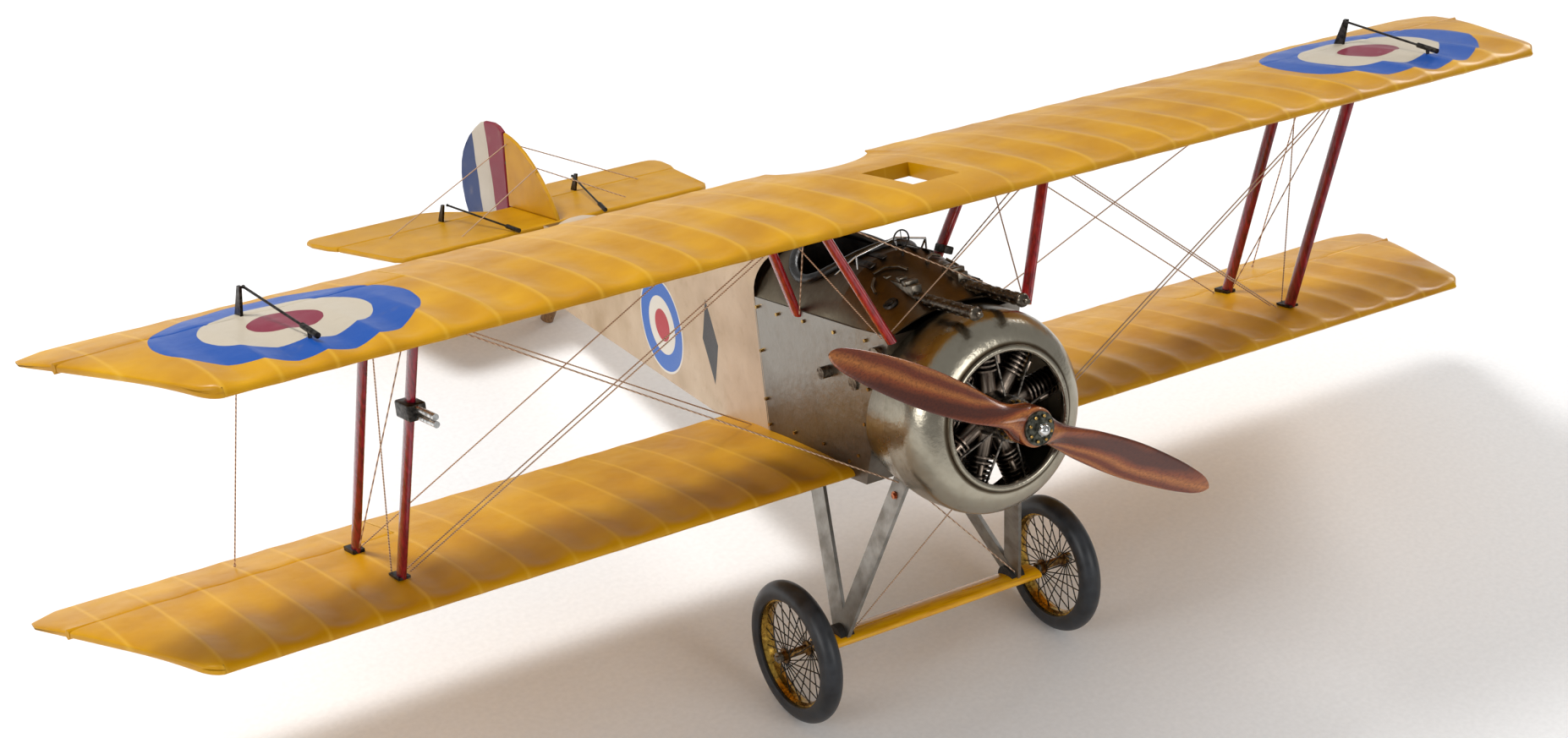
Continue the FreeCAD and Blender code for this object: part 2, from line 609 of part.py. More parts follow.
BARREL_RADIUS = 2.0
ELEVATOR_ROD_THROW = 6.8
ELEVATOR_BALL_GAP = 1.9      # the rods converge forwards, so the balls also travel sideways
elevator_rod_end = V(HORN_X - 1 - ELEVATOR_BALL_GAP - BALL, horn_top.y, horn_top.z)
elevator_mouth = V(46.5, 645.0, TAIL_Z + TAIL_THICKNESS / 2 + 3.7)
elevator_rod, elevator_barrel = sliding_rod(elevator_mouth, elevator_rod_end, ELEVATOR_ROD_THROW)
elevator_barrel = elevator_barrel.cut(tailplane)
parts["elevator_rod_left"] = elevator_rod
parts["elevator_rod_right"] = mirrored(elevator_rod)
parts["fuselage"] = fuselage

# ---- control horns, rods and link cables of the ailerons -------------------------------
AIL_HORN_X = 473.0
horn_tip = V(AIL_HORN_X, 134.2, 27.5)
aileron_horn = face([V(AIL_HORN_X - 1, 140.0, 5), V(AIL_HORN_X - 1, 151.0, 5),
                     V(AIL_HORN_X - 1, 136.6, 28.6), V(AIL_HORN_X - 1, 132.2, 28.6)]
                    ).extrude(V(HORN_WALL, 0, 0))
upper_aileron = max(AILERON.Solids, key=lambda s: s.Volume)
aileron_horn = max(aileron_horn.cut(upper_aileron).Solids, key=lambda s: s.BoundBox.ZMax)
parts["aileron_upper_left"] = upper_aileron
parts["aileron_upper_right"] = mirrored(upper_aileron)
lower_aileron = upper_aileron.copy()
lower_aileron.translate(DROP)
parts["aileron_lower_left"] = lower_aileron
parts["aileron_lower_right"] = mirrored(lower_aileron)
parts["aileron_horn_left"] = aileron_horn
parts["aileron_horn_right"] = mirrored(aileron_horn)

AILERON_ROD_THROW = 8.9
aileron_rod_end = V(AIL_HORN_X - 1 - ROD_GAP - BALL, horn_tip.y, horn_tip.z)
aileron_mouth = V(467.0, 50.0, 16.0)
aileron_rod, aileron_barrel = sliding_rod(aileron_mouth, aileron_rod_end, AILERON_ROD_THROW)
parts["aileron_rod_left"] = aileron_rod
parts["aileron_rod_right"] = mirrored(aileron_rod)
stand = rod(V(467, 40, 4), V(467, 40, 15.5), 1.4)
stand = stand.cut([upper, rod(aileron_mouth, aileron_mouth * 2 - aileron_rod_end, BARREL_RADIUS)])
stand = max(stand.Solids, key=lambda s: s.Volume)
fairlead = aileron_barrel.fuse(stand)

LINK_X = 467.0
LINK_STATION = AILERON_AXIS_Y + 27.0
LINK_KNOT = 1.1
LINK_REACH = 1.8             # knot centre to the aileron's skin, so that it clears when tilted


def skin_z(y, curve_points):
    for (y0, z0), (y1, z1) in zip(curve_points, curve_points[1:]):
        if y0 <= y <= y1:
            return z0 + (z1 - z0) * (y - y0) / (y1 - y0)
    return 0.0


link_top = V(LINK_X, LINK_STATION, skin_z(LINK_STATION, LOWER_CURVE) - LINK_REACH)
link_low = V(LINK_X, LINK_STATION, skin_z(LINK_STATION, UPPER_CURVE) + LINK_REACH) + DROP
link = rod(link_low, link_top, WIRE_RADIUS).fuse([Part.makeSphere(LINK_KNOT, link_low),
                                                  Part.makeSphere(LINK_KNOT, link_top)])
parts["aileron_link_left"] = link
parts["aileron_link_right"] = mirrored(link)

wing_lugs = LUGS + [mirrored(lug) for lug in LUGS]
low_lugs = []
for lug in wing_lugs:
    copy = lug.copy()
    copy.translate(DROP)
    low_lugs.append(copy)
parts["surface_hinges"] = group(wing_lugs + low_lugs + tail_lugs)

# ---- struts ----------------------------------------------------------------------------
AFT = V(0, 1, 0)
WINGS = [parts["upper_wing"], parts["lower_wing_left"], parts["lower_wing_right"]]
struts = []
strut_feet = []
for station in (FRONT_SPAR, REAR_SPAR):
    head = V(STRUT_X, station, 3.0)
    foot = V(STRUT_X, station + STAGGER, -WING_GAP + 5.0)
    strut = blade_bar(foot, head, 11.0, 5.5, AFT).cut(WINGS)
    struts += both(max(strut.Solids, key=lambda s: s.Volume))
    for point, lift in ((head, -5.5), (foot, 7.0)):
        low, high = sorted((point.z + lift, point.z + (0 if lift < 0 else -3)))
        pad = box((point.x - 4.5, point.y - 8, low), (point.x + 4.5, point.y + 8, high))
        pad = pad.cut(WINGS + [strut])
        strut_feet += both(max(pad.Solids, key=lambda s: s.Volume))
parts["interplane_struts"] = group(struts)
cabanes = []
for foot, head in ((V(HALF_WIDTH + 0.6, 29, -92), V(CABANE_TOP_X, FRONT_SPAR, 3)),
                   (V(HALF_WIDTH + 1.6, 149, -92), V(CABANE_TOP_X, REAR_SPAR + 4, 3))):
    strut = blade_bar(foot, head, 11.0, 6.0, AFT)
    strut = strut.cut(WINGS + [fuselage, deck, cowl_body, parts["side_panel_left"]])
    cabanes += both(max(strut.Solids, key=lambda s: s.Volume))
parts["cabane_struts"] = group(cabanes)
parts["wing_fittings"] = group(strut_feet + both(fairlead) + both(elevator_barrel))

# airspeed tube: clamp and two open tubes on the right front strut
clamp_y = FRONT_SPAR + STAGGER * 0.30
clamp = box((-STRUT_X - 6, clamp_y - 10, -66), (-STRUT_X + 6, clamp_y + 10, -56))
clamp = clamp.cut(group(struts))
clamp = max(clamp.Solids, key=lambda s: s.Volume)
tubes = [rod(V(-STRUT_X, clamp_y - 38, z), V(-STRUT_X, clamp_y - 10, z), 2.2)
         for z in (-63.6, -58.6)]
parts["airspeed_tube"] = group([clamp] + tubes)

# ---- undercarriage ---------------------------------------------------------------------
APEX = V(77.8, AXLE_Y - 1.4, AXLE_Z + 1.6)
LEG_FRONT = V(HALF_WIDTH - 9.0, 46.0, BELLY_Z + 10.5)
LEG_REAR = V(HALF_WIDTH - 12.0, 172.0, BELLY_Z + 4)
BAR_HALF = 97.0
bar = blade_bar(V(-BAR_HALF, AXLE_Y, AXLE_Z - 1), V(BAR_HALF, AXLE_Y, AXLE_Z - 1), 25.0, 9.5, AFT)
bar = bar.cut(rod(V(-BAR_HALF - 1, AXLE_Y, AXLE_Z), V(BAR_HALF + 1, AXLE_Y, AXLE_Z), AXLE_RADIUS))
for x in (-74.0, 30.0):
    bar = bar.cut(box((x, AXLE_Y - 3.2, AXLE_Z + 2.6), (x + 44, AXLE_Y - 1.8, AXLE_Z + 8)))
parts["spreader_bar"] = max(bar.Solids, key=lambda s: s.Volume)
BODY_SOLIDS = [fuselage, parts["side_panel_left"], parts["lower_wing_left"]]
leg_a = strap(APEX, LEG_FRONT, 16.0, 3.0, AFT).cut(BODY_SOLIDS + [cowl_body, bar])
leg_b = strap(APEX, LEG_REAR, 16.0, 3.0, AFT).cut(BODY_SOLIDS + [bar])
leg_a = max(leg_a.Solids, key=lambda s: s.Volume)
leg_b = max(leg_b.Solids, key=lambda s: s.Volume)
leg_b = max(leg_b.cut(leg_a).Solids, key=lambda s: s.Volume)
legs = group([leg_a, leg_b])
parts["undercarriage_legs"] = group([leg_a, leg_b, mirrored(leg_a), mirrored(leg_b)])
HUB_HALF = 13.0
NUT_GAP = 0.4
axle = rod(V(-WHEEL_X - HUB_HALF - 5, AXLE_Y, AXLE_Z), V(WHEEL_X + HUB_HALF + 5, AXLE_Y, AXLE_Z),
           AXLE_RADIUS)
for side in (-1, 1):
    outer = side * (WHEEL_X + HUB_HALF + NUT_GAP)
    inner = side * (WHEEL_X - HUB_HALF - NUT_GAP)
    axle = axle.fuse(rod(V(outer, AXLE_Y, AXLE_Z), V(outer + side * 3, AXLE_Y, AXLE_Z), 4.0))
    axle = axle.fuse(rod(V(inner, AXLE_Y, AXLE_Z), V(inner - side * 2, AXLE_Y, AXLE_Z), 4.0))
parts["axle"] = axle
wrap = rod(V(APEX.x - 6, AXLE_Y, AXLE_Z + 1.2), V(APEX.x + 6, AXLE_Y, AXLE_Z + 1.2), 9.0)
wrap = wrap.cut([bar, legs, axle, box((0, AXLE_Y - 30, AXLE_Z - 30), (200, AXLE_Y + 30,
                                                                      AXLE_Z - 6.2))])
wraps = both(max(wrap.Solids, key=lambda s: s.Volume))
parts["shock_cords"] = group(wraps)

hub_profile = [V(AXLE_RADIUS + RUN_CLEARANCE, 0, -HUB_HALF), V(3.6, 0, -HUB_HALF),
               V(3.6, 0, -10.5), V(5.6, 0, -10.5), V(5.6, 0, -8.5), V(3.2, 0, -7.5),
               V(3.2, 0, 7.5), V(5.6, 0, 8.5), V(5.6, 0, 10.5), V(3.6, 0, 10.5),
               V(3.6, 0, HUB_HALF), V(AXLE_RADIUS + RUN_CLEARANCE, 0, HUB_HALF)]
wheel_hub = face(hub_profile).revolve(V(0, 0, 0), V(0, 0, 1), 360)
rim_profile = [V(RIM_RADIUS, 0, -5.0), V(RIM_RADIUS, 0, 5.0), V(RIM_RADIUS - 1.5, 0, 5.0),
               V(RIM_RADIUS - 3.0, 0, 2.0), V(RIM_RADIUS - 3.0, 0, -2.0),
               V(RIM_RADIUS - 1.5, 0, -5.0)]
rim = face(rim_profile).revolve(V(0, 0, 0), V(0, 0, 1), 360)
tyre = Part.makeTorus(TYRE_RADIUS - TYRE_TUBE, TYRE_TUBE)
tyre = tyre.cut(Part.makeCylinder(RIM_RADIUS, 30, V(0, 0, -15)))
SPOKES = 18
spokes = []
for i in range(SPOKES):
    for side, lead in ((1, 38.0), (-1, -38.0)):
        a = math.radians(360.0 * (i + (0.5 if side < 0 else 0)) / SPOKES)
        b = a + math.radians(lead)
        near = V(5.3 * math.cos(a), 5.3 * math.sin(a), side * 9.5)
        far = V((RIM_RADIUS - 2.9) * math.cos(b), (RIM_RADIUS - 2.9) * math.sin(b), side * 1.2)
        spoke = rod(near, far, 0.45).cut([wheel_hub, rim])
        spokes.append(max(spoke.Solids, key=lambda s: s.Volume))
for name, side in (("left", 1), ("right", -1)):
    for label, blank in (("hub", wheel_hub), ("rim", rim), ("tyre", tyre),
                         ("spokes", group(spokes))):
        piece = blank.copy()
        piece.rotate(V(0, 0, 0), V(0, 1, 0), 90 * side)
        piece.translate(V(side * WHEEL_X, AXLE_Y, AXLE_Z))
        parts[label + "_" + name] = piece

# ---- tail skid -------------------------------------------------------------------------
axle_to_skid = math.hypot(SKID_Y - AXLE_Y, SKID_Z - AXLE_Z)
GROUND_ANGLE = math.degrees(math.atan2(SKID_Z - AXLE_Z, SKID_Y - AXLE_Y)
                            + math.asin(TYRE_RADIUS / axle_to_skid))
skid = blade_bar(V(0, 648, BELLY_Z + 46.5), V(0, 690, BELLY_Z + 0.5), 14.0, 10.0, AFT)
GROUND_DIR = V(0, math.cos(math.radians(GROUND_ANGLE)), math.sin(math.radians(GROUND_ANGLE)))
GROUND_UP = V(0, -GROUND_DIR.z, GROUND_DIR.y)
skid_sole = V(0, SKID_Y, SKID_Z)
under = face([skid_sole - GROUND_DIR * 90 + V(-30, 0, 0), skid_sole + GROUND_DIR * 90 + V(-30, 0, 0),
              skid_sole + GROUND_DIR * 90 - GROUND_UP * 60 + V(-30, 0, 0),
              skid_sole - GROUND_DIR * 90 - GROUND_UP * 60 + V(-30, 0, 0)]).extrude(V(60, 0, 0))
skid = skid.cut([fuselage, under])
parts["tail_skid"] = max(skid.Solids, key=lambda s: s.Volume)


# ---- rigging ---------------------------------------------------------------------------
def wires(pairs, tools):
    """Straight threads, trimmed where they reach the pieces that hold them."""
    threads = group([rod(start, end, WIRE_RADIUS) for start, end in pairs])
    for tool in tools:
        threads = threads.cut(tool)
    stub = math.pi * WIRE_RADIUS ** 2 * 25
    return group([s for s in threads.Solids if s.Volume > stub])


SKINS = [fuselage, parts["side_panel_left"], parts["side_panel_right"]]
front_head = V(STRUT_X - 6, FRONT_SPAR, 2)
rear_head = V(STRUT_X - 6, REAR_SPAR, 2)
front_foot = V(STRUT_X - 6, FRONT_SPAR + STAGGER, -WING_GAP + 8)
rear_foot = V(STRUT_X - 6, REAR_SPAR + STAGGER, -WING_GAP + 8)
GAP = V(0, 3, 0)
main_wires = []
for offset in (GAP * -0.7, GAP * 0.7):
    main_wires.append((V(HALF_WIDTH - 5, 50, BELLY_Z + 6.5) + offset, front_head + offset))
    main_wires.append((V(CABANE_TOP_X + 4, FRONT_SPAR, 2) + offset * 1.6 + GAP * 2.5,
                       front_foot + offset * 1.6 + GAP * 2.5))
main_wires.append((V(56, 236, -196), rear_head))
main_wires.append((V(CABANE_TOP_X + 4, REAR_SPAR + 3, 2) + GAP, rear_foot + GAP * 2))
main_wires.append((V(STRUT_X, FRONT_SPAR + 10, 2), V(STRUT_X, REAR_SPAR + STAGGER - 7, -192)))
main_wires.append((V(STRUT_X + 2, REAR_SPAR - 10, 2),
                   V(STRUT_X + 2, FRONT_SPAR + STAGGER + 9, -192)))
main_wires += [(V(-a.x, a.y, a.z), V(-b.x, b.y, b.z)) for a, b in main_wires]
parts["wing_wires"] = wires(main_wires, WINGS + SKINS + [cowl_body, parts["cabane_struts"],
                                                         parts["undercarriage_legs"],
                                                         parts["interplane_struts"],
                                                         parts["wing_fittings"]])
cabane_pairs = []
for side in (-1, 1):
    cabane_pairs.append((V(side * (HALF_WIDTH + 4), 36, -90), V(side * 97, 120, 2)))
    cabane_pairs.append((V(side * (HALF_WIDTH + 5), 140, -90), V(side * 100, 56, 2)))
cabane_pairs.append((V(-HALF_WIDTH - 3, 34, -90), V(94, 42, 2)))
cabane_pairs.append((V(HALF_WIDTH + 3, 31, -90), V(-94, 38, 2)))
parts["cabane_wires"] = wires(cabane_pairs, [parts["upper_wing"], deck, cowl_body,
                                             parts["cabane_struts"]] + SKINS)
cross = [(V(-74, AXLE_Y - 12, AXLE_Z + 8), V(HALF_WIDTH - 13, 52, BELLY_Z + 6.5)),
         (V(74, AXLE_Y - 10, AXLE_Z + 8), V(13 - HALF_WIDTH, 56, BELLY_Z + 6.5))]
parts["undercarriage_wires"] = wires(cross, [cowl_body, bar, parts["undercarriage_legs"],
                                             parts["shock_cords"]])
tail_pairs = []
for side in (-1, 1):
    tail_pairs.append((V(0, 718, -44), V(side * 132, 719, TAIL_Z)))
    tail_pairs.append((V(0, 666, -61), V(side * 87, 662, TAIL_Z)))
parts["tail_brace_wires"] = wires(tail_pairs, [parts["fin"], tailplane, fuselage])

# ---- stand it on its wheels and skid, and write the pieces -----------------------------
WIDEST = ["prop_shaft", "propeller", "rudder", "elevator_left"]


def ground(shape):
    placed = shape.copy()
    placed.rotate(V(0, 0, 0), V(1, 0, 0), -GROUND_ANGLE)
    return placed


ends = [ground(parts[name]).optimalBoundingBox(False) for name in WIDEST]
middle_y = (min(b.YMin for b in ends) + max(b.YMax for b in ends)) / 2
axle_row = ground(Part.Vertex(0, AXLE_Y, AXLE_Z)).Point
SHIFT = V(0, -middle_y, TYRE_RADIUS - axle_row.z)

os.makedirs("parts", exist_ok=True)
for name, shape in parts.items():
    placed = ground(shape)
    placed.translate(SHIFT)
    placed.exportStep("parts/" + name + ".step")
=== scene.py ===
import bmesh
import bpy
import json
import math
from mathutils import Matrix, Vector, noise


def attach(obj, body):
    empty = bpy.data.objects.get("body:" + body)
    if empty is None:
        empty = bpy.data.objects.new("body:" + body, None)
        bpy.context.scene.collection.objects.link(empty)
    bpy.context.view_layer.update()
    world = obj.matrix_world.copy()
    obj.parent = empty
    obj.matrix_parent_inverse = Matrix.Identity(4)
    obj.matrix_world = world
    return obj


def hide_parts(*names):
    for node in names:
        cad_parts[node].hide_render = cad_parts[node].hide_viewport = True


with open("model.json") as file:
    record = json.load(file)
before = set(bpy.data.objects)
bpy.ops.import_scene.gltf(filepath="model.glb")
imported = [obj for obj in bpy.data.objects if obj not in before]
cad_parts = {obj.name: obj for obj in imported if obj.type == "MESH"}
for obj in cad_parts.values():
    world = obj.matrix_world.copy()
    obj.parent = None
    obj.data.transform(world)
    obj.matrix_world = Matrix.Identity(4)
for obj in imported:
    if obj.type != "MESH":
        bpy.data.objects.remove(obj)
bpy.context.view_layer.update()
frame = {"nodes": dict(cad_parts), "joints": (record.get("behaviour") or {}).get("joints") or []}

# --------------------------------------------------------------------------------------
# Studio: a matt paper floor under the model, four soft lamps and a pale surround.
# The model is rigged level but stands tail down, so its pieces are shaped in millimetres
# in the rigging frame (+X its left, nose to -Y) and one matrix sets them on the ground.
# --------------------------------------------------------------------------------------
joints = {joint["name"]: joint for joint in frame["joints"]}
thrust = Vector(joints["propeller_spin"]["axis"])
ground_angle = math.atan2(-thrust.z, thrust.y)
wheel_x, axle_y, axle_z = 116.8, 106.0, -325.6
tail_down = Matrix.Rotation(-ground_angle, 4, "X")
axle_spot = Vector(joints["wheel_left_spin"]["pos_m"])
to_ground = axle_spot - tail_down @ (Vector((wheel_x, axle_y, axle_z)) * 0.001)
RIG = Matrix.Translation(to_ground) @ tail_down @ Matrix.Scale(0.001, 4)

camera = bpy.data.objects.new("camera", bpy.data.cameras.new("camera"))
bpy.context.scene.collection.objects.link(camera)
bpy.context.scene.camera = camera
look = Vector((0.48614, 0.82731, -0.28145)).normalized()
across = Vector((0.84006, -0.53116, -0.11030))
across = (across - look * across.dot(look)).normalized()
facing = Matrix((across, across.cross(look), -look)).transposed().to_4x4()
camera_place = Matrix.Translation(RIG @ Vector((-1031.1, -1478.5, 423.8)))
camera.matrix_world = camera_place @ tail_down @ facing
camera.data.lens = 62.4
camera.data.clip_start = 0.05

for name, spot, size, power in (("key_lamp", (-0.9, 0.8, 2.0), 0.5, 36),
                                ("side_lamp", (-2.3, -0.9, 1.0), 1.0, 15),
                                ("front_lamp", (0.5, -2.5, 1.2), 1.0, 12),
                                ("far_lamp", (2.2, 0.6, 1.4), 0.9, 28)):
    lamp = bpy.data.lights.new(name, "AREA")
    lamp.size = size
    lamp.energy = power
    holder = bpy.data.objects.new(name, lamp)
    bpy.context.scene.collection.objects.link(holder)
    holder.location = spot
    holder.rotation_euler = (Vector((0, 0, 0.2)) - Vector(spot)).to_track_quat("-Z", "Y").to_euler()
surround = bpy.data.worlds.new("surround")
bpy.context.scene.world = surround
surround.use_nodes = True
surround.node_tree.nodes["Background"].inputs["Color"].default_value = (1, 1, 1, 1)
surround.node_tree.nodes["Background"].inputs["Strength"].default_value = 0.36
bpy.context.scene.view_settings.view_transform = "Standard"


def colour(code):
    """An sRGB hex colour as linear RGBA."""
    parts = [int(code[i:i + 2], 16) / 255 for i in (1, 3, 5)]
    return [p / 12.92 if p <= 0.04045 else ((p + 0.055) / 1.055) ** 2.4 for p in parts] + [1.0]


def add(material, kind, out, inputs=(), stops=(), **settings):
    """Adds one node with its settings and links, and returns one of its outputs."""
    made = material.node_tree.nodes.new("ShaderNode" + kind)
    for key, value in settings.items():
        setattr(made, key, value)
    for key, value in dict(inputs).items():
        if isinstance(value, bpy.types.NodeSocket):
            material.node_tree.links.new(value, made.inputs[key])
        else:
            made.inputs[key].default_value = colour(value) if isinstance(value, str) else value
    if stops:
        steps = made.color_ramp.elements
        steps.remove(steps[1])
        steps[0].position = stops[0][0]
        steps[0].color = colour(stops[0][1])
        for position, code in stops[1:]:
            steps.new(position).color = colour(code)
    return made.outputs[out]


def finish_of(name, constants):
    """A new material with constant values on its shader's own sockets."""
    material = bpy.data.materials.new(name)
    material.use_nodes = True
    coat(material, constants)
    return material


def coat(material, inputs):
    """Sets or links sockets of a material's shader."""
    shader = material.node_tree.nodes["Principled BSDF"]
    for key, value in inputs.items():
        if isinstance(value, bpy.types.NodeSocket):
            material.node_tree.links.new(value, shader.inputs[key])
        else:
            shader.inputs[key].default_value = colour(value) if isinstance(value, str) else value


# white studio paper: matt, with a faint tooth
paper = finish_of("matt_white_paper", {"Roughness": 0.9})
tooth = add(paper, "TexNoise", "Fac", {"Vector": add(paper, "TexCoord", "Object"), "Scale": 250.0})
coat(paper, {"Base Color": add(paper, "ValToRGB", "Color", {"Fac": tooth},
                               ((0.3, "#F2F2F2"), (0.7, "#F8F8F8")))})
floor_mesh = bmesh.new()
bmesh.ops.create_grid(floor_mesh, x_segments=4, y_segments=4, size=9.0)
bmesh.ops.translate(floor_mesh, verts=floor_mesh.verts, vec=(0, 0, -0.0005))
floor = bpy.data.objects.new("floor", bpy.data.meshes.new("floor"))
floor_mesh.to_mesh(floor.data)
floor_mesh.free()
bpy.context.scene.collection.objects.link(floor)
floor.data.materials.append(paper)

# --------------------------------------------------------------------------------------
# Wings: wooden spars and ribs under cotton shrunk with dope, painted golden yellow. The
# cloth sinks between the ribs and is drawn tight over the leading edge and the raked tip
# bow. The upper wing has a framed sighting window and a rounded notch behind it.
# --------------------------------------------------------------------------------------
half_span, chord = 609.5, 196.0
stagger, wing_gap = 92.0, 202.6
tip_rake, le_corner, te_corner = 0.3675, 26.0, 20.0
hinge_station, aileron_root, hinge_gap = 136.0, 359.0, 0.8
rib_pitch, first_rib, last_rib = 36.0, 35.0, 539.0
top_curve = ((0, 0), (3, 4.2), (10, 7.2), (25, 9.4), (45, 10.3), (65, 10.2), (100, 9.8),
             (136, 8.6), (170, 5.4), (196, 2.6))
low_curve = ((0, 0), (3, -2.4), (10, -3.3), (25, -2.8), (60, -1.4), (100, -0.8), (136, -0.5),
             (170, 0.2), (196, 1.0))
roundel_x, roundel_y, roundel_radius = 460.0, 98.0, 85.0


def rigging_place(material, stretch=(1, 1, 1)):
    """Object coordinates turned back into rigging millimetres."""
    home = Matrix.Rotation(ground_angle, 4, "X") @ (to_ground * -1000)
    place = add(material, "Mapping", "Vector",
                {"Vector": add(material, "TexCoord", "Object"), "Location": home,
                 "Rotation": (ground_angle, 0, 0), "Scale": (1000, 1000, 1000)})
    return add(material, "Mapping", "Vector", {"Vector": place, "Scale": stretch})


def doped_cotton(name, with_roundels):
    """Satin cloth: cloudy golden yellow, a painted highlight along each rib line, brown grime, a
    fine weave.
    """
    cloth = finish_of(name, {"Specular IOR Level": 0.24, "Coat Weight": 0.04,
                             "Coat Roughness": 0.2})
    place = rigging_place(cloth)
    axes = add(cloth, "SeparateXYZ", 0, {0: place}).node
    span = add(cloth, "Math", 0, {0: axes.outputs[0]}, operation="ABSOLUTE")
    cloud = add(cloth, "TexNoise", "Fac", {"Vector": place, "Scale": 1 / 55, "Detail": 4.0})
    grime = add(cloth, "TexNoise", "Fac", {"Vector": place, "Scale": 1 / 13, "Detail": 6.0,
                                           "Roughness": 0.62})
    base = add(cloth, "ValToRGB", "Color", {"Fac": cloud},
               ((0.32, "#B98000"), (0.5, "#C68D00"), (0.7, "#D39B02")))
    stain = add(cloth, "MapRange", 0, {0: grime, 1: 0.6, 2: 0.85, 3: 0.0, 4: 0.22})
    base = add(cloth, "Mix", 2, {0: stain, 6: base, 7: "#A26E04"}, data_type="RGBA")
    # a paler band along each rib line: a painted highlight on the rib crests
    bay = add(cloth, "Math", 0, {0: add(cloth, "Math", 0, {0: span, 1: 1.0 / rib_pitch},
                                        operation="MULTIPLY"), 1: 1.0 / rib_pitch}, operation="ADD")
    from_rib = add(cloth, "Math", 0, {0: bay, 1: 0.5}, operation="PINGPONG")
    rib_highlight = add(cloth, "MapRange", 0, {0: from_rib, 1: 0.0, 2: 0.06, 3: 0.5, 4: 0.0})
    base = add(cloth, "Mix", 2, {0: rib_highlight, 6: base, 7: "#E2B23A"}, data_type="RGBA")
    if with_roundels:
        spot = add(cloth, "CombineXYZ", 0, {0: span, 1: axes.outputs[1]})
        reach = add(cloth, "VectorMath", "Value", {0: spot, 1: (roundel_x, roundel_y, 0)},
                    operation="DISTANCE")
        reach = add(cloth, "Math", 0, {0: grime, 1: 2.0, 2: reach}, operation="MULTIPLY_ADD")
        reach = add(cloth, "Math", 0, {0: reach, 1: 100.0}, operation="DIVIDE")
        rings = add(cloth, "ValToRGB", "Color", {"Fac": reach},
                    ((0.0, "#801C36"), (0.25, "#C2B6A2"), (0.555, "#0C4CA0")))
        rings.node.color_ramp.interpolation = "CONSTANT"
        rings = add(cloth, "Mix", 2, {0: stain, 6: rings, 7: "#8F8468"}, data_type="RGBA")
        inside = add(cloth, "Math", 0, {0: reach, 1: roundel_radius / 100 + 0.01},
                     operation="LESS_THAN")
        height = add(cloth, "Math", 0, {0: axes.outputs[2], 1: 1.4}, operation="GREATER_THAN")
        inside = add(cloth, "Math", 0, {0: inside, 1: height}, operation="MULTIPLY")
        base = add(cloth, "Mix", 2, {0: inside, 6: base, 7: rings}, data_type="RGBA")
    # threads really lie 0.4 mm apart; they are drawn at 1.2 mm so that they show
    weave = add(cloth, "TexBrick", "Color", {"Vector": place, "Scale": 1 / 2.4, "Mortar Size": 0.05,
                                             "Color1": "#FFFFFF", "Color2": "#D0D0D0"})
    fine = add(cloth, "Bump", "Normal", {"Height": weave, "Distance": 0.00004})
    lumps = add(cloth, "Bump", "Normal", {"Height": cloud, "Distance": 0.0012, "Normal": fine})
    coat(cloth, {"Base Color": base, "Normal": add(cloth, "Bump", "Normal", {
        "Height": grime, "Distance": 0.00015, "Normal": lumps}),
        "Roughness": add(cloth, "MapRange", 0, {0: grime, 1: 0.2, 2: 0.8, 3: 0.26, 4: 0.42})})
    return cloth


upper_cloth = doped_cotton("doped_cotton_with_roundels", True)
plain_cloth = doped_cotton("doped_cotton", False)


def through(curve, y):
    """Height at station y of a smooth curve through the given points."""
    index = max(i for i in range(len(curve) - 1) if curve[i][0] <= y or i == 0)
    (y0, z0), (y1, z1) = curve[index], curve[index + 1]
    before, after = curve[max(index - 1, 0)], curve[min(index + 2, len(curve) - 1)]
    t = (y - y0) / (y1 - y0)
    slope0 = (z1 - before[1]) / (y1 - before[0]) * (y1 - y0)
    slope1 = (after[1] - z0) / (after[0] - y0) * (y1 - y0)
    if index == 0:
        slope0 = (z1 - z0) * 2.2
    return (z0 * (2 * t ** 3 - 3 * t ** 2 + 1) + slope0 * (t ** 3 - 2 * t ** 2 + t)
            + z1 * (3 * t ** 2 - 2 * t ** 3) + slope1 * (t ** 3 - t ** 2))


def tip_edge(y):
    """Widest x of the wing tip at each chord station."""
    slant = math.sqrt(1 + tip_rake ** 2)
    te_x = half_span + te_corner * (tip_rake + slant - 1)
    edge = te_x - tip_rake * (chord - y)
    lean = math.atan(tip_rake)
    centre_x = te_x - tip_rake * chord - le_corner * math.tan((math.pi / 2 - lean) / 2)
    if y < le_corner * (1 - math.sin(lean)):
        edge = min(edge, centre_x + math.sqrt(max(0.0, le_corner ** 2 - (le_corner - y) ** 2)))
    back = chord - te_corner
    if y > back - te_corner * math.sin(lean):
        round_off = math.sqrt(max(0.0, te_corner ** 2 - (y - back) ** 2))
        edge = min(edge, half_span - te_corner + round_off)
    return edge


def sag(x, y):
    """How far the cloth sinks below the rib line."""
    bay = ((x + 1) / rib_pitch) % 1.0
    if x > last_rib:
        bay = min(1.0, (x - last_rib) / 72.0)
    hollow = 1 - abs(2 * bay - 1) ** 1.35
    depth = min(1.0, y / 12.0) * (0.1 + 0.9 * math.exp(-((y - 24) / 58.0) ** 2))
    return 0.0 if x < first_rib else (4.8 if x > last_rib else 4.3) * hollow * depth


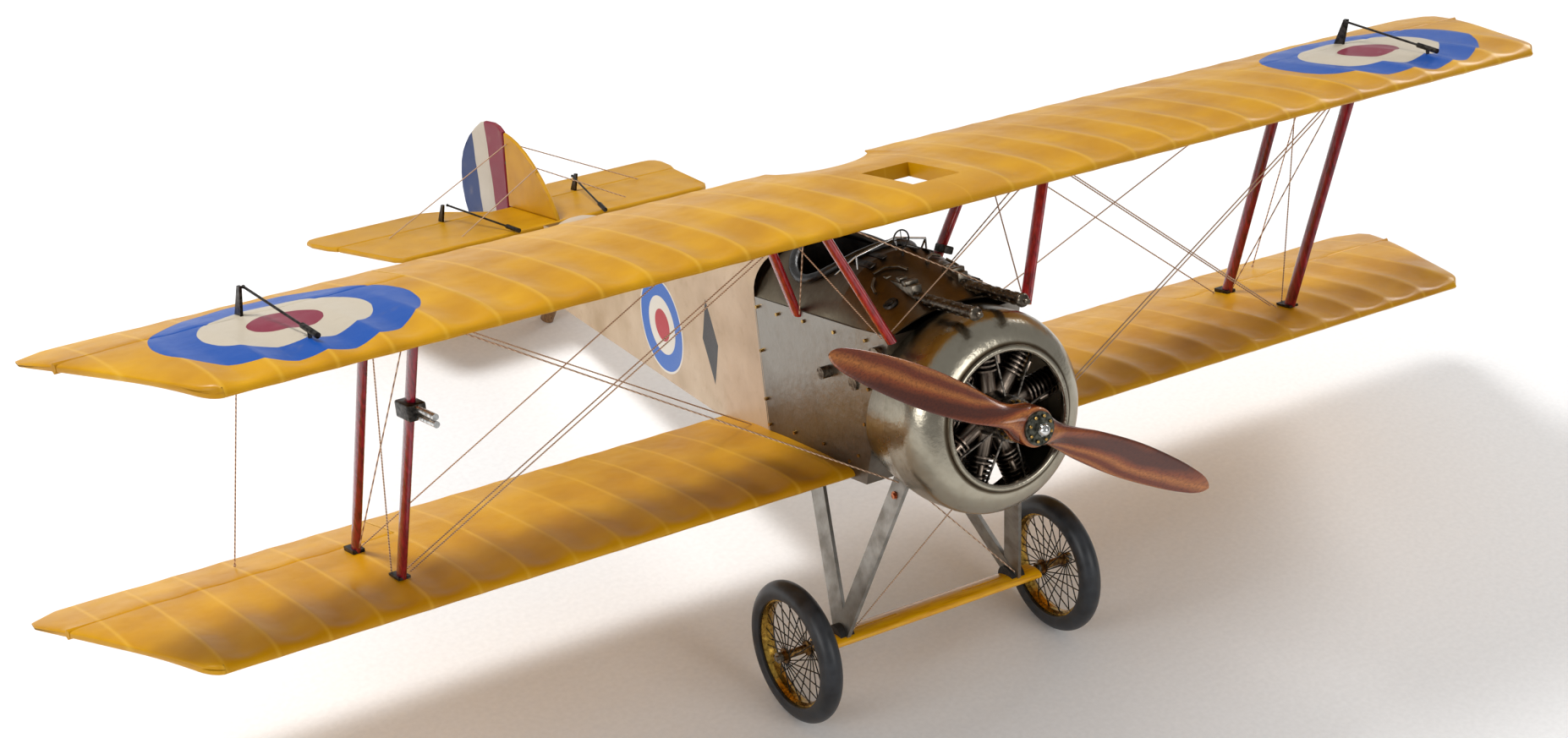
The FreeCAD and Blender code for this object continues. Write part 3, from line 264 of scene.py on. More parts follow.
def wing_half():
    """Half a wing from the middle to the tip, closed at the tip, open at the middle."""
    stations = [chord * (1 - math.cos(math.pi / 2 * i / 26)) for i in range(27)]
    shell = bmesh.new()
    ring = [shell.verts.new((-1, y, through(top_curve, y))) for y in reversed(stations)]
    ring += [shell.verts.new((-1, y, through(low_curve, y))) for y in stations[1:]]
    edges = [shell.edges.new(pair) for pair in zip(ring, ring[1:] + ring[:1])]
    bmesh.ops.spin(shell, geom=ring + edges, cent=(0, 0, 0), axis=(1, 0, 0),
                   dvec=(rib_pitch / 10, 0, 0), angle=0.0, steps=169, use_merge=False)
    reach = 169 * rib_pitch / 10 - 1
    for vert in shell.verts:
        x, y, z = vert.co
        middle = (through(top_curve, y) + through(low_curve, y)) / 2
        over = z > middle
        if x > last_rib:
            share = (x - last_rib) / (reach - last_rib)
            x = last_rib + (tip_edge(y) - last_rib) * math.sin(math.pi / 2 * share)
            z = middle + (z - middle) * math.sqrt(max(0.03, 1 - share ** 2.5))
        fade = 1.0 if x < last_rib else math.sqrt(max(0.0, (z - middle) ** 2)) / 6.0
        z += -sag(x, y) * min(1.0, fade) if over else sag(x, y) * 0.3
        vert.co = (x, y, z)
    rim = [e for e in shell.edges if e.is_boundary and e.verts[0].co.x > first_rib]
    bmesh.ops.holes_fill(shell, edges=rim, sides=0)
    return shell


def keep_behind(shell, point, normal, close=True):
    """Cuts away what lies on the normal's side of a plane and closes the cut."""
    cut = bmesh.ops.bisect_plane(shell, geom=shell.verts[:] + shell.edges[:] + shell.faces[:],
                                 plane_co=point, plane_no=normal, clear_outer=True)
    rim = [g for g in cut["geom_cut"] if isinstance(g, bmesh.types.BMEdge) and g.is_boundary]
    if rim and close:
        bmesh.ops.holes_fill(shell, edges=rim, sides=0)


def crease(shell, point, normal):
    """Adds a line of edges where a plane meets a mesh."""
    bmesh.ops.bisect_plane(shell, geom=shell.verts[:] + shell.edges[:] + shell.faces[:],
                           plane_co=point, plane_no=normal)


def other_side(shell):
    """The same shape on the other side of the model."""
    twin = shell.copy()
    bmesh.ops.scale(twin, vec=(-1, 1, 1), verts=twin.verts)
    bmesh.ops.reverse_faces(twin, faces=twin.faces)
    return twin


def absorb(shell, extra):
    """Moves everything of one mesh into another."""
    spare = bpy.data.meshes.new("spare")
    extra.to_mesh(spare)
    extra.free()
    shell.from_mesh(spare)
    bpy.data.meshes.remove(spare)


def fit(name, shell, body, material, replaced=(), sharp=35.0):
    """Sets a mesh shaped in the rigging frame on the ground, as a finished piece of a body."""
    bmesh.ops.remove_doubles(shell, verts=shell.verts, dist=0.005)
    bmesh.ops.recalc_face_normals(shell, faces=shell.faces)
    shell.transform(RIG)
    for side in shell.faces:
        side.smooth = True
    for edge in shell.edges:
        if edge.is_manifold and edge.calc_face_angle(0.0) > math.radians(sharp):
            edge.smooth = False
    made = bpy.data.objects.new(name, bpy.data.meshes.new(name))
    shell.to_mesh(made.data)
    shell.free()
    bpy.context.scene.collection.objects.link(made)
    made.data.materials.append(material)
    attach(made, body)
    if replaced:
        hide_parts(*replaced)
    return made


def wing_panel(root_x):
    """One side of a wing, without its aileron."""
    inner = wing_half()
    keep_behind(inner, (aileron_root, 0, 0), (1, 0, 0))
    keep_behind(inner, (root_x, 0, 0), (-1, 0, 0), root_x > 0)
    outer = wing_half()
    keep_behind(outer, (aileron_root, 0, 0), (-1, 0, 0))
    keep_behind(outer, (0, hinge_station, 0), (0, 1, 0))
    absorb(inner, outer)
    return inner


window_half, window_front, window_back = 20.0, 40.0, 104.0
notch_half, notch_floor, notch_start = 44.0, 169.0, 118.0
upper = wing_panel(0.0)
for point, normal in (((window_half, 0, 0), (1, 0, 0)), ((0, window_front, 0), (0, 1, 0)),
                      ((0, window_back, 0), (0, 1, 0)), ((notch_half, 0, 0), (1, 0, 0)),
                      ((notch_half - 1.2, 0, 0), (1, 0, 0)), ((notch_half - 3, 0, 0), (1, 0, 0))):
    crease(upper, point, normal)
hole = [f for f in upper.faces if f.calc_center_median().x < window_half
        and window_front < f.calc_center_median().y < window_back]
bmesh.ops.delete(upper, geom=hole, context="FACES")
absorb(upper, other_side(upper))
bmesh.ops.remove_doubles(upper, verts=upper.verts, dist=0.01)
bmesh.ops.bridge_loops(upper, edges=[e for e in upper.edges if e.is_boundary])
for vert in upper.verts:
    x, y = abs(vert.co.x), vert.co.y
    if x < notch_half - 0.1 and y > notch_start:
        end = chord - (chord - notch_floor) * (1 - (x / notch_half) ** 2) ** 0.6
        vert.co.y = notch_start + (y - notch_start) / (chord - notch_start) * (end - notch_start)
fit("upper_wing_cloth", upper, "airframe", upper_cloth, ["upper_wing"])

lower = wing_panel(50.0)
bmesh.ops.translate(lower, verts=lower.verts, vec=(0, stagger, -wing_gap))
fit("lower_wing_right_cloth", other_side(lower), "airframe", plain_cloth,
    ["lower_wing_right"])
fit("lower_wing_left_cloth", lower, "airframe", plain_cloth, ["lower_wing_left"])

# --------------------------------------------------------------------------------------
# Ailerons: four cloth-covered flaps of the same section as the wings, each with a round
# nose on its hinge line, so that it can swing without touching the wing ahead of it.
# --------------------------------------------------------------------------------------
nose_radius, nose_height = 4.2, 4.0


def aileron_shell():
    """The rear corner of a wing with a round nose."""
    shell = wing_half()
    keep_behind(shell, (aileron_root + hinge_gap, 0, 0), (-1, 0, 0))
    keep_behind(shell, (0, hinge_station + hinge_gap, 0), (0, -1, 0))
    for back in (0.3, 1.0, 2.2, 4.2):
        crease(shell, (0, hinge_station + hinge_gap + back, 0), (0, 1, 0))
    axis_y = hinge_station + hinge_gap + nose_radius
    for vert in shell.verts:
        if vert.co.y < axis_y - 0.01:
            half = math.sqrt(max(0.0, nose_radius ** 2 - (axis_y - vert.co.y) ** 2))
            vert.co.z = nose_height + (half if vert.co.z > nose_height else -half)
    return shell


for side in ("left", "right"):
    for level, offset in (("upper", (0, 0, 0)), ("lower", (0, stagger, -wing_gap))):
        flap = aileron_shell() if side == "left" else other_side(aileron_shell())
        bmesh.ops.translate(flap, verts=flap.verts, vec=offset)
        node = "aileron_" + level + "_" + side
        fit(node + "_cloth", flap, node,
            upper_cloth if level == "upper" else plain_cloth, [node])

# --------------------------------------------------------------------------------------
# Tail surfaces: thin wooden frames under doped cloth. The tailplane and fin are fixed; the
# elevators hang behind the tailplane and the rudder behind the sternpost, on round noses.
# --------------------------------------------------------------------------------------
tail_height, tail_rib = -107.0, 34.0


def covered_frame(outline, thickness, edge, rib_axis, hollow):
    """A flat covered frame lying in XY: rounded edge, cloth sunk between its ribs."""
    slab = bmesh.new()
    plan = slab.faces.new([slab.verts.new((x, y, -thickness / 2)) for x, y in outline])
    pushed = bmesh.ops.extrude_face_region(slab, geom=[plan])
    top = [g for g in pushed["geom"] if isinstance(g, bmesh.types.BMVert)]
    bmesh.ops.translate(slab, verts=top, vec=(0, 0, thickness))
    bmesh.ops.recalc_face_normals(slab, faces=slab.faces)
    rims = [e for e in slab.edges if abs(e.verts[0].co.z - e.verts[1].co.z) < 0.01]
    bmesh.ops.bevel(slab, geom=rims, offset=edge, segments=4, profile=0.5, affect="EDGES",
                    material=-1)
    low = [min(v.co[i] for v in slab.verts) for i in (0, 1)]
    high = [max(v.co[i] for v in slab.verts) for i in (0, 1)]
    for i, step in ((0, 5.7), (1, 5.7)):
        for k in range(1, int((high[i] - low[i]) / step) + 1):
            place, normal = [0, 0, 0], [0, 0, 0]
            place[i], normal[i] = low[i] + k * step, 1
            crease(slab, place, normal)
    for vert in slab.verts:
        phase = (vert.co[rib_axis] / tail_rib) % 1.0
        rim_gap = (min(vert.co[i] - low[i] for i in (0, 1)),
                   min(high[i] - vert.co[i] for i in (0, 1)))
        inner = min(1.0, max(0.0, (min(rim_gap) - edge) / 10))
        lift = thickness / 2 - abs(vert.co.z)
        if lift < 0.05:
            dip = hollow * (1 - abs(2 * phase - 1) ** 1.8) * inner
            vert.co.z -= math.copysign(dip, vert.co.z)
    return slab


def tail_cloth(name, striped):
    """Doped cotton as on the wings; the rudder has three painted upright stripes."""
    cloth = finish_of(name, {"Roughness": 0.4, "Specular IOR Level": 0.24, "Coat Weight": 0.04,
                              "Coat Roughness": 0.25})
    place = rigging_place(cloth)
    grime = add(cloth, "TexNoise", "Fac", {"Vector": place, "Scale": 1 / 18, "Detail": 6.0})
    base = add(cloth, "ValToRGB", "Color", {"Fac": grime},
               ((0.25, "#B88200"), (0.5, "#C08A00"), (0.75, "#C69002")))
    if striped:
        upright = add(cloth, "SeparateXYZ", 1, {0: place})
        run = add(cloth, "MapRange", 0, {0: upright, 1: 700.0, 2: 840.0})
        bands = add(cloth, "ValToRGB", "Color", {"Fac": run},
                    ((0.0, "#7C1B30"), (0.42, "#BDB2A2"), (0.63, "#122C60")))
        bands.node.color_ramp.interpolation = "CONSTANT"
        wear = add(cloth, "MapRange", 0, {0: grime, 1: 0.55, 2: 0.8, 3: 0.0, 4: 0.25})
        base = add(cloth, "Mix", 2, {0: wear, 6: bands, 7: "#A29478"}, data_type="RGBA")
    weave = add(cloth, "TexBrick", "Color", {"Vector": place, "Scale": 1 / 2.4, "Mortar Size": 0.05,
                                             "Color1": "#FFFFFF", "Color2": "#D0D0D0"})
    fine = add(cloth, "Bump", "Normal", {"Height": weave, "Distance": 0.00004})
    coat(cloth, {"Base Color": base, "Normal": add(cloth, "Bump", "Normal", {
        "Height": grime, "Distance": 0.0003, "Normal": fine})})
    return cloth


tail_yellow = tail_cloth("doped_cotton_tail", False)
rudder_stripes = tail_cloth("doped_cotton_striped", True)
tailplane_plan = [(-146, 634), (146, 634), (152, 637), (157, 646), (172, 729.2), (-172, 729.2),
                  (-157, 646), (-152, 637)]
tailplane = covered_frame(tailplane_plan, 5.0, 2.1, 0, 0.8)
bmesh.ops.translate(tailplane, verts=tailplane.verts, vec=(0, 0, tail_height))
fit("tailplane_cloth", tailplane, "airframe", tail_yellow, ["tailplane"])
elevator_plan = [(20, 730.2), (173, 730.2), (178, 744), (182, 768), (181, 780), (177, 786),
                 (168, 788),
                 (66, 788), (52, 778)]
for side in ("left", "right"):
    flap = covered_frame(elevator_plan, 4.6, 2.2, 0, 0.6)
    bmesh.ops.translate(flap, verts=flap.verts, vec=(0, 0, tail_height))
    if side == "right":
        flap = other_side(flap)
    fit("elevator_" + side + "_cloth", flap, "elevators", tail_yellow,
        ["elevator_" + side])


def stand_up(slab):
    """Turns a frame drawn in XY as (station, height) upright into the YZ plane."""
    spin = Matrix(((0, 0, 1), (1, 0, 0), (0, 1, 0))).to_4x4()
    slab.transform(spin)
    return slab


fin_plan = [(636, -104.5), (640, -95), (648, -82.5), (660, -69.5), (673, -58), (686, -49),
            (700, -41.8),
            (711, -37.8), (721.9, -35.2), (731, -104.5)]
fin = stand_up(covered_frame(fin_plan, 4.0, 1.7, 1, 0.5))
fit("fin_cloth", fin, "airframe", tail_yellow, ["fin"])
rudder_plan = [(723.3, -34.2), (731, -29.6), (740, -27.6), (757, -27.8), (768, -30), (780, -35.6),
               (796, -45.2), (806, -53.4), (814.4, -62), (820.6, -71.6), (825, -84), (827, -98),
               (825.6, -112), (820.8, -125.6), (812.2, -140), (804, -148.6), (795, -155),
               (784, -160.6), (772, -164), (740.6, -165.2)]
rudder = stand_up(covered_frame(rudder_plan, 4.2, 1.9, 1, 0.5))
fit("rudder_cloth_striped", rudder, "rudder", rudder_stripes, ["rudder"])

# --------------------------------------------------------------------------------------
# Rear fuselage: a wooden frame under pale varnished linen, stretched over four longerons
# and round deck arches, with a painted ring mark and a plain black lozenge on each side.
# --------------------------------------------------------------------------------------
# station, half width, longeron height, belly height, height of the deck arch over the longeron
frames = ((111.0, 67.4, -85.8, -212.3, 43.8), (208.0, 57.2, -89.1, -206.7, 35.2),
          (305.0, 47.0, -92.4, -201.1, 26.6),
          (456.0, 32.4, -98.3, -188.9, 15.6), (607.0, 18.1, -103.8, -176.2, 6.2),
          (726.0, 5.6, -110.2, -166.4, 1.2))
ring_y, ring_z = 395.0, -149.0
lozenge_y, lozenge_z, lozenge_half, lozenge_tall = 302.0, -144.0, 15.0, 35.0

linen = finish_of("varnished_linen", {"Roughness": 0.42, "Coat Weight": 0.1, "Coat Roughness": 0.3})
place = rigging_place(linen)
axes = add(linen, "SeparateXYZ", 0, {0: place}).node
blotch = add(linen, "TexNoise", "Fac", {"Vector": place, "Scale": 1 / 45, "Detail": 5.0})
dust = add(linen, "TexNoise", "Fac", {"Vector": place, "Scale": 1 / 9, "Detail": 6.0})
skin = add(linen, "ValToRGB", "Color", {"Fac": blotch},
           ((0.3, "#AE9474"), (0.5, "#BFA688"), (0.7, "#CBB498")))
aged = add(linen, "MapRange", 0, {0: dust, 1: 0.55, 2: 0.8, 3: 0.0, 4: 0.35})
skin = add(linen, "Mix", 2, {0: aged, 6: skin, 7: "#9B7B55"}, data_type="RGBA")
side_on = add(linen, "CombineXYZ", 0, {1: axes.outputs[1], 2: axes.outputs[2]})
reach = add(linen, "VectorMath", "Value", {0: side_on, 1: (0, ring_y, ring_z)},
            operation="DISTANCE")
reach = add(linen, "Math", 0, {0: reach, 1: 100.0}, operation="DIVIDE")
rings = add(linen, "ValToRGB", "Color", {"Fac": reach},
            ((0.0, "#AE2230"), (0.135, "#DAD3C6"), (0.245, "#2A63B4"), (0.385, "#DAD3C6")))
rings.node.color_ramp.interpolation = "CONSTANT"
on_ring = add(linen, "Math", 0, {0: reach, 1: 0.405}, operation="LESS_THAN")
skin = add(linen, "Mix", 2, {0: on_ring, 6: skin, 7: rings}, data_type="RGBA")
along = add(linen, "Math", 0, {0: axes.outputs[1], 1: lozenge_y}, operation="SUBTRACT")
along = add(linen, "Math", 0, {0: along}, operation="ABSOLUTE")
upward = add(linen, "Math", 0, {0: axes.outputs[2], 1: lozenge_z}, operation="SUBTRACT")
upward = add(linen, "Math", 0, {0: upward}, operation="ABSOLUTE")
lozenge = add(linen, "Math", 0, {0: along, 1: lozenge_tall / lozenge_half, 2: upward},
              operation="MULTIPLY_ADD")
lozenge = add(linen, "Math", 0, {0: lozenge, 1: lozenge_tall}, operation="LESS_THAN")
skin = add(linen, "Mix", 2, {0: lozenge, 6: skin, 7: "#17151A"}, data_type="RGBA")
# threads really lie 0.5 mm apart; they are drawn at 1.3 mm so that they show
weave = add(linen, "TexBrick", "Color", {"Vector": place, "Scale": 1 / 2.6, "Mortar Size": 0.06,
                                         "Color1": "#FFFFFF", "Color2": "#C8C8C8"})
threads = add(linen, "Bump", "Normal", {"Height": weave, "Distance": 0.00005})
coat(linen, {"Base Color": skin, "Normal": add(linen, "Bump", "Normal", {
    "Height": blotch, "Distance": 0.0008, "Normal": threads})})


def frame_at(y):
    """Half width, longeron, belly and arch height at a station."""
    y = min(max(y, 208.0), 726.0)
    return [through([(f[0], f[k]) for f in frames], y) for k in (1, 2, 3, 4)]


hull = bmesh.new()
bmesh.ops.create_grid(hull, x_segments=96, y_segments=84, size=0.5)
for vert in hull.verts:
    around, y = (vert.co.x + 0.5) * 4, 208.0 + (vert.co.y + 0.5) * 518.0
    half, longeron, belly, arch = frame_at(y)
    lane, share = int(min(around, 3.999)), around - int(min(around, 3.999))
    bay = abs(((y - 210.0) / 73.5) % 1.0 * 2 - 1)
    dip = 0.9 * (1 - bay ** 2.2) * (1 - abs(2 * share - 1) ** 2.5) * min(1.0, half / 40)
    if lane == 0:
        x, z = half + 1.2 - dip, belly - 1.2 + (longeron - belly + 1.2) * share
    elif lane == 1:
        turn = math.pi * share
        stringer = 0.5 * abs(math.sin(turn * 5)) * min(1.0, half / 40)
        x = (half + 1.2) * math.cos(turn)
        z = longeron + (arch + 1.2 - stringer) * math.sin(turn) ** 0.8
        if y > 606:
            z = min(z, tail_height + 1.0)
    elif lane == 2:
        x, z = -half - 1.2 + dip, longeron - (longeron - belly + 1.2) * share
    else:
        x, z = (half + 1.2) * (2 * share - 1), belly - 1.2 + dip * 0.6
    vert.co = (x, y, z)
fit("rear_fuselage_cloth", hull, "airframe", linen, sharp=50)


def carry(nodes, material):
    """Gives CAD nodes that keep their own shape a finish."""
    for node in nodes:
        data = frame["nodes"][node].data
        data.materials.clear()
        data.materials.append(material)


# --------------------------------------------------------------------------------------
# Metal nose: the cowl ring, two side panels and the forward deck, beaten from thin sheet,
# polished on the crowns and stained brown toward the rear; brass screws hold the panels.
# --------------------------------------------------------------------------------------
longeron_z = -89.0


def beaten_sheet(name, bright, middle, dark, rough):
    """Hand-beaten sheet metal: soft dents, drifting tarnish, fine scratches."""
    sheet = finish_of(name, {"Metallic": 1.0})
    place = rigging_place(sheet)
    cloud = add(sheet, "TexNoise", "Fac", {"Vector": place, "Scale": 1 / 42, "Detail": 5.0,
                                           "Roughness": 0.6})
    spots = add(sheet, "TexNoise", "Fac", {"Vector": place, "Scale": 1 / 6, "Detail": 6.0,
                                           "Roughness": 0.65})
    streaks = add(sheet, "TexNoise", "Fac", {"Vector": rigging_place(sheet, (1, 1, 0.5)),
                                             "Scale": 1 / 9, "Detail": 4.0})
    axes = add(sheet, "SeparateXYZ", 0, {0: place}).node
    return sheet, place, axes, cloud, spots, streaks, rough, (bright, middle, dark)


def tarnish(made, share, relief=0.00035):
    """Colours a beaten sheet from bright to dark along share, and adds its dents."""
    sheet, place, axes, cloud, spots, streaks, rough, tones = made
    share = add(sheet, "Math", 0, {0: cloud, 1: 0.4, 2: share}, operation="MULTIPLY_ADD")
    share = add(sheet, "Math", 0, {0: spots, 1: 0.22, 2: share}, operation="MULTIPLY_ADD")
    base = add(sheet, "ValToRGB", "Color", {"Fac": share},
               ((0.3, tones[0]), (0.62, tones[1]), (0.95, tones[2])))
    stain = add(sheet, "MapRange", 0, {0: streaks, 1: 0.54, 2: 0.8, 3: 0.0, 4: 0.16})
    base = add(sheet, "Mix", 2, {0: stain, 6: base, 7: "#6B5236"}, data_type="RGBA")
    dents = add(sheet, "Bump", "Normal", {"Height": cloud, "Distance": relief * 4})
    marks = add(sheet, "Bump", "Normal", {"Height": spots, "Distance": relief * 0.3,
                                          "Normal": dents})
    coat(sheet, {"Base Color": base, "Normal": marks, "Roughness": add(
        sheet, "MapRange", 0, {0: share, 1: 0.3, 2: 1.0, 3: rough, 4: rough + 0.16})})
    return sheet


cowl_sheet = beaten_sheet("beaten_pewter", "#ADA695", "#787060", "#453A2C", 0.25)
rear = add(cowl_sheet[0], "MapRange", 0, {0: cowl_sheet[2].outputs[1], 1: -4.0, 2: 60.0, 4: 0.6})
high = add(cowl_sheet[0], "MapRange", 0, {0: cowl_sheet[2].outputs[2], 1: -200.0, 2: -90.0})
upper_rear = add(cowl_sheet[0], "Math", 0, {0: rear, 1: high}, operation="MULTIPLY")
flat = add(cowl_sheet[0], "CombineXYZ", 0, {0: cowl_sheet[2].outputs[0],
                                            2: cowl_sheet[2].outputs[2]})
ring = add(cowl_sheet[0], "VectorMath", "Value", {0: flat, 1: (0, 0, -152.0)}, operation="DISTANCE")
ring = add(cowl_sheet[0], "Math", 0, {0: ring, 1: 52.4}, operation="SUBTRACT")
ring = add(cowl_sheet[0], "Math", 0, {0: ring}, operation="ABSOLUTE")
ring = add(cowl_sheet[0], "MapRange", 0, {0: ring, 1: 0.3, 2: 2.2, 3: 0.7, 4: 0.0})
fore = add(cowl_sheet[0], "Math", 0, {0: cowl_sheet[2].outputs[1], 1: -8.0}, operation="LESS_THAN")
pewter = tarnish(cowl_sheet, add(cowl_sheet[0], "Math", 0, {0: ring, 1: fore, 2: upper_rear},
                                 operation="MULTIPLY_ADD"))
carry(["cowling"], pewter)
panel_sheet = beaten_sheet("beaten_tinplate", "#8F8A82", "#726B62", "#5A4936", 0.33)
low = add(panel_sheet[0], "MapRange", 0, {0: panel_sheet[2].outputs[2], 1: -130.0, 2: -210.0,
                                          3: 0.0, 4: 0.45})
carry(["side_panel_left", "side_panel_right", "fuselage"], tarnish(panel_sheet, low))
deck_sheet = beaten_sheet("tarnished_bronze_sheet", "#988C76", "#706250", "#463B30", 0.3)
top = add(deck_sheet[0], "MapRange", 0, {0: deck_sheet[2].outputs[2], 1: -88.0, 2: -60.0,
                                         3: 0.1, 4: 0.5})
bronze_sheet = tarnish(deck_sheet, top)
carry(["forward_deck"], bronze_sheet)


def plain_metal(name, light, dark, rough, grain=1 / 3, depth=0.00008):
    """A small metal part: two tones in its hollows and crowns, fine pitting."""
    metal = finish_of(name, {"Metallic": 1.0})
    place = rigging_place(metal)
    pits = add(metal, "TexNoise", "Fac", {"Vector": place, "Scale": grain, "Detail": 5.0})
    coat(metal, {"Base Color": add(metal, "ValToRGB", "Color", {"Fac": pits},
                                   ((0.35, dark), (0.62, light))),
                 "Roughness": add(metal, "MapRange", 0, {0: pits, 1: 0.3, 2: 0.7, 3: rough + 0.12,
                                                         4: rough}),
                 "Normal": add(metal, "Bump", "Normal", {"Height": pits, "Distance": depth})})
    return metal


brass = plain_metal("aged_brass", "#C9A45C", "#7A5A2A", 0.25)
dark_steel = plain_metal("blackened_steel", "#4A4642", "#1B1917", 0.34)
carry(["panel_screws"], brass)
carry(["access_covers"], plain_metal("stained_steel", "#8F877A", "#4A4038", 0.35))


# --------------------------------------------------------------------------------------
# Engine: nine finned cylinders round a black crankcase, with bright pushrods in front, seated on a
# plate behind; all dull black metal, the fins' edges painted paler, partly as wear and partly as a
# painted highlight.
# --------------------------------------------------------------------------------------
thrust_z = -152.0
engine_black = finish_of("oiled_black_iron", {"Metallic": 1.0})
place = rigging_place(engine_black)
soot = add(engine_black, "TexNoise", "Fac", {"Vector": place, "Scale": 1 / 5, "Detail": 6.0})
# paler fin edges found by pointiness: partly rubbed paint, partly a painted highlight
rubbed_edge_highlight = add(engine_black, "NewGeometry", "Pointiness")
edge = add(engine_black, "MapRange", 0, {0: rubbed_edge_highlight, 1: 0.51, 2: 0.6, 3: 0.0, 4: 0.8})
iron = add(engine_black, "ValToRGB", "Color", {"Fac": soot}, ((0.4, "#1D1A18"), (0.66, "#5A5048")))
coat(engine_black, {"Base Color": add(engine_black, "Mix", 2, {0: edge, 6: iron, 7: "#C9B6A4"},
                                      data_type="RGBA"),
                    "Roughness": add(engine_black, "MapRange", 0, {0: soot, 3: 0.38, 4: 0.22}),
                    "Normal": add(engine_black, "Bump", "Normal", {"Height": soot,
                                                                   "Distance": 0.0002})})
carry(["cylinders"], engine_black)
pushrod_steel = plain_metal("oiled_steel", "#8E867C", "#2A2725", 0.26)
carry(["crankcase_and_pushrods"], pushrod_steel)
carry(["engine_plate"], dark_steel)

# bolts round the crankcase nose, and a rocker box with its spring on each cylinder head
case_bolts = bmesh.new()
for i in range(18):
    angle = math.radians(20 * i)
    bmesh.ops.create_cone(case_bolts, cap_ends=True, segments=6, radius1=1.3, radius2=1.1,
                          depth=1.6,
                          matrix=Matrix.Translation((13.4 * math.sin(angle), -26.7,
                                                     thrust_z + 13.4 * math.cos(angle)))
                          @ Matrix.Rotation(math.radians(90), 4, "X"))
fit("crankcase_bolts", case_bolts, "airframe", brass)
rockers = bmesh.new()
for i in range(9):
    turn = Matrix.Translation((0, 4.0, thrust_z)) @ Matrix.Rotation(math.radians(40 * i), 4, "Y")
    for shape_at in ((0, -11.5, 59.0),):
        block = bmesh.ops.create_cube(rockers, size=1.0, matrix=turn @ Matrix.Translation(shape_at)
                                      @ Matrix.Diagonal((5.0, 5.0, 3.4, 1)))
        rims = {e for v in block["verts"] for e in v.link_edges}
        bmesh.ops.bevel(rockers, geom=list(rims), offset=0.7, segments=2, profile=0.5,
                        affect="EDGES", material=-1)
    bmesh.ops.create_cone(rockers, cap_ends=True, segments=12, radius1=2.2, radius2=2.2, depth=7.0,
                          matrix=turn @ Matrix.Translation((4.6, -9.6, 40.0)))
fit("rocker_boxes", rockers, "airframe", engine_black)

# --------------------------------------------------------------------------------------
# Propeller: carved from glued boards of dark and light mahogany, so the boards show as
# stripes along the twisted blades; varnished, with a black steel hub plate and dome nut.
# --------------------------------------------------------------------------------------
prop_radius, prop_rest, hub_y = 176.0, 30.0, -42.0
blade_chord = ((0, 23), (10, 22.5), (18, 20.5), (30, 22), (55, 28.5), (95, 31), (135, 25.5),
               (160, 18), (170, 12), (175, 5), (176, 1.5))
blade_thick = ((0, 27), (8, 26.5), (14, 22), (22, 14.5), (32, 10.5), (55, 7.5), (95, 6), (135, 4.5),
               (160, 3.4), (176, 1.2))
blade_pitch = ((0, 90), (8, 83), (16, 66), (26, 47), (40, 38), (55, 33), (95, 25), (135, 20),
               (160, 17), (176, 16))

mahogany = finish_of("varnished_mahogany_boards", {"Roughness": 0.22, "Coat Weight": 0.2,
                                                   "Coat Roughness": 0.08})
place = rigging_place(mahogany)
along_blade = Matrix.Rotation(math.radians(prop_rest), 4, "Y").to_euler()
blade_place = add(mahogany, "Mapping", "Vector", {"Vector": place, "Rotation": along_blade})
grain_place = add(mahogany, "Mapping", "Vector", {"Vector": blade_place,
                                                  "Scale": (0.045, 1.6, 0.8)})
grain = add(mahogany, "TexNoise", "Fac", {"Vector": grain_place, "Scale": 1.0, "Detail": 5.0,
                                          "Roughness": 0.6})
board = add(mahogany, "SeparateXYZ", 1, {0: blade_place})
drift = add(mahogany, "TexNoise", "Fac", {"Vector": blade_place, "Scale": 1 / 60})
board = add(mahogany, "Math", 0, {0: drift, 1: 5.0, 2: board}, operation="MULTIPLY_ADD")
board = add(mahogany, "Math", 0, {0: board, 1: 1 / 7.5}, operation="MULTIPLY")
board = add(mahogany, "Math", 0, {0: board, 1: 1.0}, operation="PINGPONG")
tone = add(mahogany, "ValToRGB", "Color", {"Fac": board},
           ((0.2, "#562413"), (0.42, "#8C431F"), (0.62, "#B87036"), (0.9, "#78351B")))
dark_grain = add(mahogany, "MapRange", 0, {0: grain, 1: 0.45, 2: 0.7, 3: 0.0, 4: 0.6})
coat(mahogany, {"Base Color": add(mahogany, "Mix", 2, {0: dark_grain, 6: tone, 7: "#35150E"},
                                  data_type="RGBA"),
                "Normal": add(mahogany, "Bump", "Normal", {"Height": grain, "Distance": 0.00005})})

airscrew = bmesh.new()
bmesh.ops.create_grid(airscrew, x_segments=168, y_segments=36, size=0.5)
for vert in airscrew.verts:
    run, turn = vert.co.x * 2, 2 * math.pi * (vert.co.y + 0.5)
    radius = prop_radius * math.copysign(1 - (1 - abs(run)) ** 1.25, run)
    far = min(abs(radius), prop_radius - 0.001)
    wide, thick = through(blade_chord, far), through(blade_thick, far)
    pitch = math.radians(through(blade_pitch, far))
    if radius < 0:
        pitch = math.pi - pitch
    across_blade = wide / 2 * math.copysign(abs(math.cos(turn)) ** 0.9, math.cos(turn))
    through_blade = thick / 2 * math.copysign(abs(math.sin(turn)) ** 0.9, math.sin(turn))
    through_blade *= 1.0 if far < 20 or through_blade < 0 else max(0.55, 1 - (far - 20) / 60)
    vert.co = (radius, -math.sin(pitch) * across_blade + math.cos(pitch) * through_blade,
               math.cos(pitch) * across_blade + math.sin(pitch) * through_blade)
bmesh.ops.holes_fill(airscrew, edges=[e for e in airscrew.edges if e.is_boundary
                                      and abs(e.verts[0].co.x) > 175], sides=0)
airscrew.transform(Matrix.Translation((0, hub_y, thrust_z))
                   @ Matrix.Rotation(math.radians(prop_rest), 4, "Y"))
fit("airscrew", airscrew, "propeller_body", mahogany, ["propeller"], sharp=60)
boss = bmesh.new()
